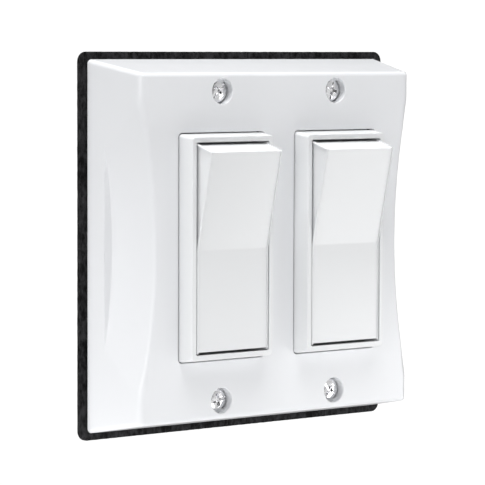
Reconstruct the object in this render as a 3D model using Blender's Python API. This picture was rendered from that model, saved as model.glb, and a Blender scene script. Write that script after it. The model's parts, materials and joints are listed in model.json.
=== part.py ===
"""A two-gang rocker wall switch in a deep weatherproof cover.

Axes: +X to the right, +Y into the wall, +Z up. The origin is on the wall plane, which is the
gasket's back face, midway between the four cover screws. Every size below is in millimetres and
becomes metres in add_object, which is the only place that puts a shape into the scene.
"""

import math

import bmesh
import bpy
from mathutils import Matrix, Vector

TO_METRES = 0.001
CLEARANCE = 0.3
SHARP_ANGLE = math.radians(30)
CORNER_STEPS = 3
ROUND_STEPS = 12
BORE_STEPS = 16

# Standard spacings of wall boxes and rocker devices
GANG_PITCH = 46.04
COVER_SCREW_RISE = 48.42
BOX_SCREW_RISE = 41.65
SCREW_RADIUS = 1.75

# Gasket
GASKET_FRONT = -1.5
GASKET_HALF = (61.7, 60.65)
GASKET_OPENING_HALF = (50.0, 50.0)
GASKET_CORNER = 3.0

# Cover: a shell whose four sides slope outwards towards the wall
COVER_FRONT = -23.8
COVER_BACK = GASKET_FRONT - CLEARANCE
COVER_FRONT_HALF = (54.3, 54.1)
COVER_BACK_HALF = (59.1, 58.3)
COVER_CORNER = 1.5
COVER_EDGE_RADIUS = 1.2
COVER_EDGE_STEPS = 3
COVER_WALL = 2.3
COVER_WALL_BACK = COVER_FRONT + COVER_WALL
RIB_HALF_THICKNESS = 0.75
RIB_BACK = -12.0

# Finger scoops: an arc in the XZ plane that leans outwards towards the wall and ends in a step
SCOOP_RADIUS = 196.0
SCOOP_FLOOR = 48.9
SCOOP_LEAN = 0.421
SCOOP_LENGTH = 14.5
SCOOP_HALF_HEIGHT = 57.0
SCOOP_STEPS = 16

# Cover screws, in counterbores
COUNTERBORE_RADIUS = 4.0
COUNTERBORE_FLOOR = -20.4
BOSS_RADIUS = 5.0
BOSS_STEP = COUNTERBORE_FLOOR + 0.6
BOSS_FOOT_RADIUS = 3.2
BOSS_BACK = -18.3
COVER_SCREW_TIP = -13.8
COVER_HEAD_RADIUS = 3.5
COVER_HEAD_HEIGHT = 1.3

# Mounting strap, just behind the cover's bosses
STRAP_FRONT = BOSS_BACK + CLEARANCE
STRAP_BACK = STRAP_FRONT + 1.2
STRAP_MIDDLE_HALF = (18.0, 40.5)
STRAP_END_HALF = (11.0, 51.5)
STRAP_MIDDLE_CORNER = 2.0
STRAP_END_CORNER = 4.0
STRAP_WINDOW_HALF = (9.5, 15.0)
BOX_SLOT_HALF = (3.0, 2.2)
BOX_SLOT_CORNER = 2.1

# Switch frame: the collar round the paddle, with a flange behind the cover's front wall
FRAME_FRONT = -29.5
FRAME_BACK = STRAP_FRONT - CLEARANCE
FRAME_BASE_HALF = (16.75, 35.4)
FRAME_DRAFT = 0.78
FRAME_EDGE = 0.45
FRAME_CORNER = 1.2
FLANGE_HALF = (19.0, 40.0)
FLANGE_FRONT = FRAME_BACK - 1.8
FRAME_SHELF_FRONT = FRAME_BACK - 1.5
SHELF_WINDOW_HALF = (7.5, 12.0)
FRAME_OPENING_HALF = (14.38, 32.9)
FRAME_LIP_BACK = FRAME_FRONT + 1.2
FRAME_HOLLOW_HALF = (14.38, 33.4)
FRAME_OPENING_CORNER = 0.6
SEAL_HALF = (19.0, 38.0)
PLATE_CORNER = 2.0
SCREW_NOTCH_HALF_WIDTH = 5.0

# Paddle: two flat halves that meet in a shallow valley; it rocks on pins in the frame
ROCK_ANGLE = math.radians(13.0)
PADDLE_TILT = ROCK_ANGLE / 2
PIVOT_DEPTH = 6.0
PIVOT_Y = FRAME_FRONT + PIVOT_DEPTH
PADDLE_HALF_WIDTH = 14.03
PADDLE_END_RISE = 32.5
PADDLE_HALF_LENGTH = PADDLE_END_RISE - PIVOT_DEPTH * math.tan(PADDLE_TILT)
PADDLE_SKIRT = 9.0
PADDLE_WALL = 1.8
PADDLE_SIDE_WALL = 1.6
PIN_RADIUS = 1.3
PIN_END = 15.7
PADDLE_END_BULGE = 0.45
PADDLE_BULGE_DEPTH = 8.0
PADDLE_END_STEPS = 4
PADDLE_EDGE = 0.4
PADDLE_RIB_DEPTH = 4.0
PADDLE_RIB_HALF_THICKNESS = 0.6

# Plunger in the paddle's boss; its axis passes through the pivot
BOSS_OUTER_RADIUS = 3.7
BORE_RADIUS = 2.1
BORE_FLOOR = -3.6
BOSS_END = 6.0
PLUNGER_RADIUS = 1.7
PLUNGER_BACK = 2.4
PLUNGER_TIP_CENTRE = 13.5
SPRING_RADIUS = 1.45
SPRING_WIRE_RADIUS = 0.22
SPRING_TURNS = 5
SPRING_STEPS = 8

# Contact arm: a see-saw on the common terminal's blade
FULCRUM_Y = PIVOT_Y + 15.5
ARM_TILT = math.radians(-5.0)
ARM_THICKNESS = 0.8
ARM_HALF = (3.6, 15.0)
CONTACT_RISE = 12.5
CONTACT_RADIUS = 1.7
CONTACT_SHANK_RADIUS = 0.9
CONTACT_HEAD = 0.9
CROSSBAR_HALF_WIDTH = 6.5
CROSSBAR_RISE = (11.5, 14.5)
LUG_OUTER = 5.3
LUG_HALF_HEIGHT = 2.5
LUG_DEPTH = 3.4

# Switch body: an open-fronted moulded box behind the strap
BODY_FRONT = STRAP_BACK + CLEARANCE
BODY_BACK = 6.0
BODY_HALF = (16.0, 33.5)
BODY_WALL = 2.0
BODY_END_WALL = 2.5
BODY_FLOOR = BODY_BACK - 2.5
BODY_FLANGE_BACK = BODY_FRONT + 1.6
BODY_FLANGE_HALF = (18.0, 40.0)
BODY_CORNER = 2.0
BODY_BACK_CHAMFER = (1.0, 1.2)
PILLAR_X = (4.5, 7.0)
PILLAR_RISE = (11.0, 14.5)
PILLAR_FRONT = FULCRUM_Y + 2.4
BODY_NOTCH_HALF_WIDTH = 6.0

# Terminals: sheet brass along the body's floor and out through its right side
SHEET = 0.9
STRIP_BACK = BODY_FLOOR - CLEARANCE
STRIP_FRONT = STRIP_BACK - SHEET
STRIP_HALF_WIDTH = 4.0
STRIP_RISE = (15.2, 19.0)
TAB_HALF_HEIGHT = 4.0
TAB_FRONT_REACH = 4.5
CONTACT_PLATE_END = 9.5
TAB_INNER = BODY_HALF[0] + CLEARANCE
TAB_OUTER = TAB_INNER + SHEET
TERMINAL_RISE = 16.0
TERMINAL_SCREW_Y = -4.0
TERMINAL_SCREW_RADIUS = 2.0
TERMINAL_HEAD_RADIUS = 3.9
TERMINAL_HEAD_HEIGHT = 2.6
TERMINAL_SCREW_END = 14.6
CONTACT_PLATE_FRONT = -3.2

# Rivets through frame, strap and body, at two opposite corners
RIVET_AT = (13.0, 37.6)
RIVET_RADIUS = 1.15
RIVET_HOLE_RADIUS = 1.5
RIVET_RECESS_RADIUS = 2.0

# Long screws into the wall box, with captive washers
BOX_SCREW_TIP = 13.0
BOX_HEAD_RADIUS = 3.1
BOX_HEAD_HEIGHT = 1.2
WASHER_HALF = 4.2
WASHER_THICKNESS = 0.9

# Ground screw, in a tab bent back from the strap's lower end
GROUND_TAB_OUTER = -11.0
GROUND_AT = (-12.3, -44.2)
GROUND_TAB_RISE = (-47.4, -40.6)
GROUND_TAB_REACH = 3.6
GROUND_HEAD_RADIUS = 3.7
GROUND_HEAD_HEIGHT = 2.4
GROUND_SCREW_LENGTH = 7.2

FINISHES = {
    "cover_plastic": ((0.80, 0.81, 0.83), 0.22, 0.0),
    "rocker_plastic": ((0.83, 0.84, 0.85), 0.20, 0.0),
    "gasket_foam": ((0.02, 0.02, 0.022), 0.95, 0.0),
    "screw_chrome": ((0.78, 0.78, 0.80), 0.12, 1.0),
    "strap_steel": ((0.60, 0.61, 0.62), 0.35, 1.0),
    "body_plastic": ((0.10, 0.10, 0.11), 0.45, 0.0),
    "plunger_plastic": ((0.75, 0.73, 0.66), 0.40, 0.0),
    "spring_steel": ((0.55, 0.55, 0.56), 0.30, 1.0),
    "terminal_brass": ((0.78, 0.57, 0.22), 0.30, 1.0),
    "contact_silver": ((0.85, 0.84, 0.82), 0.25, 1.0),
    "ground_green": ((0.04, 0.32, 0.12), 0.35, 1.0),
    "washer_fibre": ((0.45, 0.16, 0.10), 0.80, 0.0),
}


def clear_scene():
    """Removes everything that is in the scene."""
    for obj in list(bpy.data.objects):
        bpy.data.objects.remove(obj)


def make_finishes():
    """One Principled BSDF material for each finish, by name."""
    made = {}
    for name, (colour, roughness, metallic) in FINISHES.items():
        finish = bpy.data.materials.new(name)
        finish.use_nodes = True
        shader = finish.node_tree.nodes["Principled BSDF"]
        shader.inputs["Base Color"].default_value = (*colour, 1.0)
        shader.inputs["Roughness"].default_value = roughness
        shader.inputs["Metallic"].default_value = metallic
        made[name] = finish
    return made


def add_object(name, shape, finish=None, parent=None, at=(0.0, 0.0, 0.0), tilt=0.0):
    """Puts a shape, in millimetres, into the scene as an object in metres, turned by tilt about X."""
    bmesh.ops.scale(shape, vec=(TO_METRES, TO_METRES, TO_METRES), verts=shape.verts)
    bmesh.ops.recalc_face_normals(shape, faces=shape.faces)
    mesh = bpy.data.meshes.new(name)
    shape.to_mesh(mesh)
    shape.free()
    mesh.shade_smooth()
    mesh.set_sharp_from_angle(angle=SHARP_ANGLE)
    if finish:
        mesh.materials.append(finish)
    piece = bpy.data.objects.new(name, mesh)
    bpy.context.scene.collection.objects.link(piece)
    piece.parent = parent
    piece.location = Vector(at) * TO_METRES
    piece.rotation_euler.x = tilt
    return piece


def add_empty(name, at):
    """An empty at a place in millimetres, which carries the pieces of one switch."""
    empty = bpy.data.objects.new(name, None)
    bpy.context.scene.collection.objects.link(empty)
    empty.location = Vector(at) * TO_METRES
    return empty


def combine(piece, operation, shapes):
    """Cuts shapes from a piece, or welds them to it, in the piece's own frame."""
    for shape in shapes:
        number = len(piece.modifiers) + 1
        tool = add_object(f"{piece.name}_tool_{number}", shape, parent=piece)
        tool.hide_render = True
        tool.display_type = "WIRE"
        boolean = piece.modifiers.new(f"{operation.title()} {number}", "BOOLEAN")
        boolean.operation = operation
        boolean.object = tool


def cut(piece, *shapes):
    """Cuts shapes from a piece."""
    combine(piece, "DIFFERENCE", shapes)


def weld(piece, *shapes):
    """Makes shapes part of a piece."""
    combine(piece, "UNION", shapes)


def soften(piece, width, segments=2):
    """Rounds a piece's edges."""
    bevel = piece.modifiers.new("Soft edges", "BEVEL")
    bevel.width = width * TO_METRES
    bevel.segments = segments
    bevel.limit_method = "ANGLE"
    bevel.angle_limit = SHARP_ANGLE


def lofted(loops):
    """A closed solid through loops of points, with a flat cap at each end."""
    shape = bmesh.new()
    rings = [[shape.verts.new(point) for point in loop] for loop in loops]
    for near, far in zip(rings, rings[1:]):
        for i in range(len(near)):
            j = (i + 1) % len(near)
            shape.faces.new((near[i], near[j], far[j], far[i]))
    shape.faces.new(rings[0])
    shape.faces.new(rings[-1])
    return shape


def block(x, y, z):
    """A rectangular block between the low and the high value of each axis."""
    corners = [(x[0], z[0]), (x[1], z[0]), (x[1], z[1]), (x[0], z[1])]
    return lofted([[(cx, depth, cz) for cx, cz in corners] for depth in y])


def rounded_rectangle(y, half, radius, centre=(0.0, 0.0)):
    """A loop of points at depth y: a rectangle with round corners."""
    points = []
    for corner, (side_x, side_z) in enumerate(((1, 1), (-1, 1), (-1, -1), (1, -1))):
        arc_x = centre[0] + side_x * (half[0] - radius)
        arc_z = centre[1] + side_z * (half[1] - radius)
        for step in range(CORNER_STEPS + 1):
            angle = math.radians(90) * (corner + step / CORNER_STEPS)
            points.append((arc_x + radius * math.cos(angle), y, arc_z + radius * math.sin(angle)))
    return points


def slab(y, half, radius, centre=(0.0, 0.0)):
    """A plate with round corners between two depths."""
    return lofted([rounded_rectangle(depth, half, radius, centre) for depth in y])


def side_profile(outline, x):
    """A solid with one outline of (y, z) points along the whole of its width."""
    return lofted([[(across, y, z) for y, z in outline] for across in x])


def turned(profile, steps=ROUND_STEPS, at=(0.0, 0.0, 0.0), axis="Y"):
    """A solid of revolution from (radius, along) points that start and end on the axis."""
    shape = bmesh.new()
    points = [shape.verts.new((radius, along, 0.0)) for radius, along in profile]
    edges = [shape.edges.new(pair) for pair in zip(points, points[1:])]
    full_turn = math.radians(360)
    bmesh.ops.spin(shape, geom=points + edges, axis=(0, 1, 0), cent=(0, 0, 0), angle=full_turn, steps=steps)
    bmesh.ops.remove_doubles(shape, verts=shape.verts, dist=1e-5)
    if axis == "X":
        bmesh.ops.rotate(shape, verts=shape.verts, matrix=Matrix.Rotation(math.radians(-90), 3, "Z"))
    bmesh.ops.translate(shape, verts=shape.verts, vec=at)
    return shape


def rod(radius, along, steps=BORE_STEPS, at=(0.0, 0.0, 0.0), axis="Y"):
    """A plain cylinder between two places along its axis."""
    low, high = along
    return turned([(0, low), (radius, low), (radius, high), (0, high)], steps, at, axis)


def half_turn_mirror(places):
    """The places, and the same places turned half a turn about the middle."""
    return places + [(-x, -z) for x, z in places]


def cover_half(y):
    """The half width and half height of the cover's sloping sides at depth y."""
    share = (y - COVER_FRONT) / (COVER_BACK - COVER_FRONT)
    return tuple(front + share * (back - front) for front, back in zip(COVER_FRONT_HALF, COVER_BACK_HALF))


def cover_outside():
    """The cover's outer form, with a rounded edge round its front face."""
    loops = [rounded_rectangle(COVER_BACK, COVER_BACK_HALF, COVER_CORNER)]
    for step in range(COVER_EDGE_STEPS + 1):
        angle = math.radians(90) * step / COVER_EDGE_STEPS
        y = COVER_FRONT + COVER_EDGE_RADIUS * (1 - math.sin(angle))
        inset = COVER_EDGE_RADIUS * (1 - math.cos(angle))
        half = tuple(size - inset for size in cover_half(y))
        loops.append(rounded_rectangle(y, half, COVER_CORNER))
    return lofted(loops)


def cover_inside():
    """The hollow in the cover, which is open at the wall."""
    loops = []
    for y in (COVER_WALL_BACK, COVER_BACK + 1):
        half = tuple(size - COVER_WALL for size in cover_half(y))
        loops.append(rounded_rectangle(y, half, COVER_CORNER))
    return lofted(loops)


def scoop(side, inset=0.0):
    """The space of one finger scoop, made larger by inset on its floor and its step."""
    outside = COVER_BACK_HALF[0] + 10
    loops = []
    for y in (COVER_FRONT - 3, COVER_FRONT + SCOOP_LENGTH + inset):
        floor = SCOOP_FLOOR + SCOOP_LEAN * (y - COVER_FRONT) - inset
        loop = [(side * outside, y, SCOOP_HALF_HEIGHT), (side * outside, y, -SCOOP_HALF_HEIGHT)]
        for step in range(SCOOP_STEPS + 1):
            z = SCOOP_HALF_HEIGHT * (2 * step / SCOOP_STEPS - 1)
            sagitta = SCOOP_RADIUS - math.sqrt(SCOOP_RADIUS**2 - z**2)
            loop.append((side * (floor + sagitta), y, z))
        loops.append(loop)
    return lofted(loops)


def boss_profile():
    """The outline of a screw boss: wide round the counterbore, with a narrow foot on the strap."""
    return [
        (0.0, COVER_WALL_BACK - 1),
        (BOSS_RADIUS, COVER_WALL_BACK - 1),
        (BOSS_RADIUS, BOSS_STEP),
        (BOSS_FOOT_RADIUS, BOSS_STEP),
        (BOSS_FOOT_RADIUS, BOSS_BACK),
        (0.0, BOSS_BACK),
    ]


def counterbore_profile():
    """The outline of a cover screw's counterbore and of its hole through the boss."""
    hole = SCREW_RADIUS + CLEARANCE
    return [
        (0.0, COVER_FRONT - 1),
        (COUNTERBORE_RADIUS, COVER_FRONT - 1),
        (COUNTERBORE_RADIUS, COUNTERBORE_FLOOR),
        (hole, COUNTERBORE_FLOOR),
        (hole, BOSS_BACK + 1),
        (0.0, BOSS_BACK + 1),
    ]


def gang_places():
    """The name and the centre of each switch."""
    return (("left", -GANG_PITCH / 2), ("right", GANG_PITCH / 2))


def make_cover(finish):
    """The deep cover: a shell with two windows, four screw bosses, a rib and two finger scoops."""
    cover = add_object("weatherproof_cover", cover_outside(), finish)
    cut(cover, scoop(-1), scoop(1))
    hollow = add_object("cover_hollow", cover_inside(), parent=cover)
    hollow.hide_render = True
    hollow.display_type = "WIRE"
    cut(hollow, scoop(-1, COVER_WALL), scoop(1, COVER_WALL))
    opening = cover.modifiers.new("Hollow", "BOOLEAN")
    opening.object = hollow
    rib_half_height = COVER_FRONT_HALF[1] - COVER_WALL + 1
    rib_x = (-RIB_HALF_THICKNESS, RIB_HALF_THICKNESS)
    weld(cover, block(rib_x, (COVER_WALL_BACK - 1, RIB_BACK), (-rib_half_height, rib_half_height)))
    window_half = tuple(size + CLEARANCE for size in FRAME_BASE_HALF)
    window_y = (COVER_FRONT - 1, COVER_WALL_BACK + 1)
    screw_places = [
        (centre, 0.0, rise) for _, centre in gang_places() for rise in (COVER_SCREW_RISE, -COVER_SCREW_RISE)
    ]
    for at in screw_places:
        weld(cover, turned(boss_profile(), BORE_STEPS, at))
    for at in screw_places:
        cut(cover, turned(counterbore_profile(), BORE_STEPS, at))
    for _, centre in gang_places():
        cut(cover, slab(window_y, window_half, FRAME_CORNER + CLEARANCE, (centre, 0.0)))


def make_gasket(finish):
    """The foam ring between the cover and the wall."""
    gasket = add_object("foam_gasket", slab((GASKET_FRONT, 0.0), GASKET_HALF, GASKET_CORNER), finish)
    cut(gasket, slab((GASKET_FRONT - 1, 1.0), GASKET_OPENING_HALF, GASKET_CORNER))


def screw_profile(head_radius, head_height, crown, shank_radius, length):
    """A screw's outline from the top of its head at 0: a crowned head, a shank and a blunt point."""
    point = shank_radius * 0.55
    return [
        (0.0, 0.0),
        (head_radius * 0.45, crown * 0.2),
        (head_radius * 0.8, crown * 0.6),
        (head_radius, crown * 1.6),
        (head_radius, head_height),
        (shank_radius, head_height),
        (shank_radius, length - point),
        (shank_radius - point, length),
        (0.0, length),
    ]


def cross_recess(head_radius, depth, slot_half_width=0.5):
    """The two crossing slots of a combined recess, as blocks that start above the head."""
    reach = head_radius * 0.72
    along, across = (-reach, reach), (-slot_half_width, slot_half_width)
    span = (-1.0, depth)
    return [block(along, span, across), block(across, span, along)]


def make_cover_screws(finish):
    """Four crowned screws that hold the cover to the straps."""
    head_front = COUNTERBORE_FLOOR - CLEARANCE - COVER_HEAD_HEIGHT
    length = COVER_SCREW_TIP - head_front
    profile = screw_profile(COVER_HEAD_RADIUS, COVER_HEAD_HEIGHT, 0.35, SCREW_RADIUS, length)
    for side, centre in gang_places():
        for end, rise in (("top", COVER_SCREW_RISE), ("bottom", -COVER_SCREW_RISE)):
            at = (centre, head_front, rise)
            screw = add_object(f"cover_screw_{side}_{end}", turned(profile), finish, at=at)
            cut(screw, *cross_recess(COVER_HEAD_RADIUS, 1.0))


def make_strap(side, switch, finish):
    """The metal strap that carries one switch, with its ground tab."""
    y = (STRAP_FRONT, STRAP_BACK)
    strap = add_object(f"{side}_mounting_strap", slab(y, STRAP_END_HALF, STRAP_END_CORNER), finish, switch)
    weld(strap, slab(y, STRAP_MIDDLE_HALF, STRAP_MIDDLE_CORNER))
    tab_x = (GROUND_TAB_OUTER, GROUND_TAB_OUTER + STRAP_BACK - STRAP_FRONT)
    tab_y = (STRAP_FRONT + CLEARANCE, GROUND_AT[0] + GROUND_TAB_REACH)
    weld(strap, block(tab_x, tab_y, GROUND_TAB_RISE))
    through = (STRAP_FRONT - 1, STRAP_BACK + 1)
    for rise in (COVER_SCREW_RISE, -COVER_SCREW_RISE):
        cut(strap, rod(SCREW_RADIUS + CLEARANCE, through, at=(0, 0, rise)))
    for rise in (BOX_SCREW_RISE, -BOX_SCREW_RISE):
        cut(strap, slab(through, BOX_SLOT_HALF, BOX_SLOT_CORNER, (0.0, rise)))
    for x, z in half_turn_mirror([RIVET_AT]):
        cut(strap, rod(RIVET_HOLE_RADIUS, through, ROUND_STEPS, at=(x, 0, z)))
    cut(strap, slab(through, STRAP_WINDOW_HALF, STRAP_MIDDLE_CORNER))
    tab_hole = (GROUND_TAB_OUTER - 1, GROUND_TAB_OUTER + 2.5)
    cut(strap, rod(SCREW_RADIUS + CLEARANCE, tab_hole, at=(0, *GROUND_AT), axis="X"))


def frame_outside():
    """The frame's collar: straight behind the cover's face, drafted and soft-edged in front of it."""
    front_half = tuple(size - FRAME_DRAFT for size in FRAME_BASE_HALF)
    edge_half = tuple(size - FRAME_DRAFT - FRAME_EDGE for size in FRAME_BASE_HALF)
    rim = tuple(size - FRAME_DRAFT - FRAME_EDGE * 0.3 for size in FRAME_BASE_HALF)
    return lofted(
        [
            rounded_rectangle(FRAME_BACK, FRAME_BASE_HALF, FRAME_CORNER),
            rounded_rectangle(COVER_FRONT, FRAME_BASE_HALF, FRAME_CORNER),
            rounded_rectangle(FRAME_FRONT + FRAME_EDGE, front_half, FRAME_CORNER),
            rounded_rectangle(FRAME_FRONT + FRAME_EDGE * 0.3, rim, FRAME_CORNER),
            rounded_rectangle(FRAME_FRONT, edge_half, FRAME_CORNER),
        ]
    )


def frame_hollow():
    """The space for the paddle: the opening's lip and the slightly longer hollow behind it."""
    corner = FRAME_OPENING_CORNER
    return lofted(
        [
            rounded_rectangle(FRAME_FRONT - 1, FRAME_OPENING_HALF, corner),
            rounded_rectangle(FRAME_LIP_BACK, FRAME_OPENING_HALF, corner),
            rounded_rectangle(FRAME_LIP_BACK + 0.5, FRAME_HOLLOW_HALF, corner),
            rounded_rectangle(FRAME_SHELF_FRONT, FRAME_HOLLOW_HALF, corner),
        ]
    )


def make_frame(side, switch, finish):
    """The frame: collar, flange, a shelf behind the paddle and holes for the paddle's pins."""
    frame = add_object(f"{side}_frame", frame_outside(), finish, switch)
    weld(frame, slab((FLANGE_FRONT, FRAME_BACK), FLANGE_HALF, PLATE_CORNER))
    cut(frame, frame_hollow())
    cut(frame, slab((FRAME_SHELF_FRONT - 1, FRAME_BACK + 1), SHELF_WINDOW_HALF, FRAME_CORNER))
    for way in (-1, 1):
        pin_hole = sorted((way * (PADDLE_HALF_WIDTH - 1), way * (PIN_END + CLEARANCE)))
        cut(frame, rod(PIN_RADIUS + CLEARANCE, pin_hole, ROUND_STEPS, at=(0, PIVOT_Y, 0), axis="X"))
        notch_z = sorted((way * (FLANGE_HALF[1] - 2.0), way * (FLANGE_HALF[1] + 1)))
        notch_x = (-SCREW_NOTCH_HALF_WIDTH, SCREW_NOTCH_HALF_WIDTH)
        cut(frame, block(notch_x, (FLANGE_FRONT - 1, FRAME_BACK + 1), notch_z))
    for x, z in half_turn_mirror([RIVET_AT]):
        cut(frame, rod(RIVET_HOLE_RADIUS, (FLANGE_FRONT - 1, FRAME_BACK + 1), ROUND_STEPS, at=(x, 0, z)))
        cut(frame, rod(RIVET_RECESS_RADIUS, (FLANGE_FRONT - 1, FLANGE_FRONT + 1), ROUND_STEPS, at=(x, 0, z)))


def make_window_seal(side, switch, finish):
    """The thin foam ring between the cover's front wall and the frame's flange."""
    y = (COVER_WALL_BACK + CLEARANCE, FLANGE_FRONT - CLEARANCE)
    seal = add_object(f"{side}_window_seal", slab(y, SEAL_HALF, PLATE_CORNER), finish, switch)
    inner_half = tuple(size + CLEARANCE for size in FRAME_BASE_HALF)
    cut(seal, slab((y[0] - 1, y[1] + 1), inner_half, FRAME_CORNER + CLEARANCE))


def paddle_point(way, along, depth):
    """A (y, z) point of the paddle seen from the pivot: so far along one half, so deep under its face."""
    crease = -PIVOT_DEPTH / math.cos(PADDLE_TILT)
    y = crease - along * math.sin(PADDLE_TILT) + depth * math.cos(PADDLE_TILT)
    return (y, way * (along * math.cos(PADDLE_TILT) + depth * math.sin(PADDLE_TILT)))


def paddle_end(way, end, near, far):
    """The points of a band's end face, which bulges outwards with depth so that its gap stays narrow."""
    points = []
    for step in range(PADDLE_END_STEPS + 1):
        depth = near + (far - near) * step / PADDLE_END_STEPS
        bulge = PADDLE_END_BULGE * (min(depth, PADDLE_BULGE_DEPTH) / PADDLE_BULGE_DEPTH) ** 2
        points.append(paddle_point(way, end + bulge, depth))
    return points


def paddle_band(depth, end_inset, thickness):
    """The outline of a band that follows both halves, from a depth under the face."""
    end = PADDLE_HALF_LENGTH - end_inset
    near, far = depth, depth + thickness
    centre_y = [(at - PIVOT_DEPTH) / math.cos(PADDLE_TILT) for at in (near, far)]
    top_end = paddle_end(1, end, near, far)
    bottom_end = paddle_end(-1, end, near, far)
    return [(centre_y[0], 0.0), *top_end, (centre_y[1], 0.0), *reversed(bottom_end)]


def make_paddle(side, switch, finish):
    """The rocker: a hollow paddle with two pivot pins, ribs and the plunger's boss."""
    width = (-PADDLE_HALF_WIDTH, PADDLE_HALF_WIDTH)
    at = (0, PIVOT_Y, 0)
    solid = side_profile(paddle_band(0.0, 0.0, PADDLE_SKIRT), width)
    paddle = add_object(f"{side}_paddle", solid, finish, switch, at, PADDLE_TILT)
    soften(paddle, PADDLE_EDGE)
    inner = PADDLE_HALF_WIDTH - PADDLE_SIDE_WALL
    cut(paddle, side_profile(paddle_band(PADDLE_WALL, PADDLE_WALL, PADDLE_SKIRT), (-inner, inner)))
    rib_start = PADDLE_WALL - 0.5
    rib_width = (-PADDLE_RIB_HALF_THICKNESS, PADDLE_RIB_HALF_THICKNESS)
    weld(paddle, side_profile(paddle_band(rib_start, rib_start, PADDLE_RIB_DEPTH), rib_width))
    weld(paddle, rod(BOSS_OUTER_RADIUS, (PADDLE_WALL - PIVOT_DEPTH - 0.6, BOSS_END)))
    cut(paddle, rod(BORE_RADIUS, (BORE_FLOOR, BOSS_END + 1)))
    for way in (-1, 1):
        pin = sorted((way * (inner + 0.4), way * PIN_END))
        weld(paddle, rod(PIN_RADIUS, pin, ROUND_STEPS, axis="X"))


def make_plunger(side, switch, finish):
    """The round-ended pin that slides in the paddle's boss."""
    profile = [(0.0, PLUNGER_BACK), (PLUNGER_RADIUS, PLUNGER_BACK)]
    tip_steps = 4
    for step in range(tip_steps + 1):
        angle = math.radians(90) * step / tip_steps
        along = PLUNGER_TIP_CENTRE + PLUNGER_RADIUS * math.sin(angle)
        profile.append((PLUNGER_RADIUS * math.cos(angle) if step < tip_steps else 0.0, along))
    add_object(f"{side}_plunger", turned(profile), finish, switch, (0, PIVOT_Y, 0), PADDLE_TILT)


def make_plunger_spring(side, switch, finish):
    """The coil spring between the boss's floor and the plunger, as a bevelled curve."""
    start = BORE_FLOOR + CLEARANCE + SPRING_WIRE_RADIUS
    length = PLUNGER_BACK - CLEARANCE - SPRING_WIRE_RADIUS - start
    count = SPRING_TURNS * SPRING_STEPS
    curve = bpy.data.curves.new(f"{side}_plunger_spring", "CURVE")
    curve.dimensions = "3D"
    curve.bevel_depth = SPRING_WIRE_RADIUS * TO_METRES
    curve.bevel_resolution = 0
    curve.use_fill_caps = True
    spline = curve.splines.new("POLY")
    spline.points.add(count)
    for step in range(count + 1):
        angle = math.radians(360) * step / SPRING_STEPS
        place = Vector(
            (SPRING_RADIUS * math.cos(angle), start + length * step / count, SPRING_RADIUS * math.sin(angle))
        )
        spline.points[step].co = (*(place * TO_METRES), 1.0)
    curve.materials.append(finish)
    spring = bpy.data.objects.new(f"{side}_plunger_spring", curve)
    bpy.context.scene.collection.objects.link(spring)
    spring.parent = switch
    spring.location = Vector((0, PIVOT_Y, 0)) * TO_METRES
    spring.rotation_euler.x = PADDLE_TILT


def make_contact_arm(side, switch, finish):
    """The see-saw contact arm: a plate with lugs astride the blade and a crossbar at its upper end."""
    width, height = ARM_HALF
    y = (0.0, ARM_THICKNESS)
    arm = add_object(
        f"{side}_contact_arm",
        block((-width, width), y, (-height, height)),
        finish,
        switch,
        (0, FULCRUM_Y, 0),
        ARM_TILT,
    )
    weld(arm, block((-CROSSBAR_HALF_WIDTH, CROSSBAR_HALF_WIDTH), y, CROSSBAR_RISE))
    weld(arm, block((-LUG_OUTER, LUG_OUTER), y, (-LUG_HALF_HEIGHT, LUG_HALF_HEIGHT)))
    lug_z = (CLEARANCE - LUG_HALF_HEIGHT, LUG_HALF_HEIGHT - CLEARANCE)
    for way in (-1, 1):
        lug_x = sorted((way * (LUG_OUTER - ARM_THICKNESS), way * LUG_OUTER))
        weld(arm, block(lug_x, (0.0, LUG_DEPTH), lug_z))
    hole = rod(CONTACT_SHANK_RADIUS + CLEARANCE, (-1, 2), ROUND_STEPS, at=(0, 0, -CONTACT_RISE))
    cut(arm, hole)


def contact_profile(face, way, plate):
    """A contact rivet's outline: a head with its face there, a shank through the plate, a peened end."""
    head = CONTACT_HEAD
    reach = head + 2 * CLEARANCE + plate
    places = [
        (0.0, 0.0),
        (CONTACT_RADIUS - 0.3, 0.0),
        (CONTACT_RADIUS, 0.2),
        (CONTACT_RADIUS, head),
        (CONTACT_SHANK_RADIUS, head),
        (CONTACT_SHANK_RADIUS, reach),
        (CONTACT_SHANK_RADIUS + 0.5, reach),
        (CONTACT_SHANK_RADIUS + 0.3, reach + 0.5),
        (0.0, reach + 0.5),
    ]
    return [(radius, face + way * along) for radius, along in places]


def make_contacts(side, switch, finish):
    """The silver contact on the arm and the one that it closes against."""
    moving_face = ARM_THICKNESS + CLEARANCE + CONTACT_HEAD
    moving = turned(contact_profile(moving_face, -1, ARM_THICKNESS), at=(0, 0, -CONTACT_RISE))
    add_object(f"{side}_moving_contact", moving, finish, switch, (0, FULCRUM_Y, 0), ARM_TILT)
    fixed_face = CONTACT_PLATE_FRONT - CLEARANCE - CONTACT_HEAD
    fixed = turned(contact_profile(fixed_face, 1, SHEET), at=(0, 0, -CONTACT_RISE + 0.2))
    add_object(f"{side}_fixed_contact", fixed, finish, switch)


def terminal_tab(way):
    """The outer tab of a terminal and the strip that leads to it, above or below the middle."""
    strip_z = sorted(way * rise for rise in STRIP_RISE)
    tab_z = sorted((way * (TERMINAL_RISE - TAB_HALF_HEIGHT), way * (TERMINAL_RISE + TAB_HALF_HEIGHT)))
    return [
        block((-STRIP_HALF_WIDTH, TAB_OUTER), (STRIP_FRONT, STRIP_BACK), strip_z),
        block((TAB_INNER, TAB_OUTER), (TERMINAL_SCREW_Y - TAB_FRONT_REACH, STRIP_BACK), tab_z),
    ]


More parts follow.
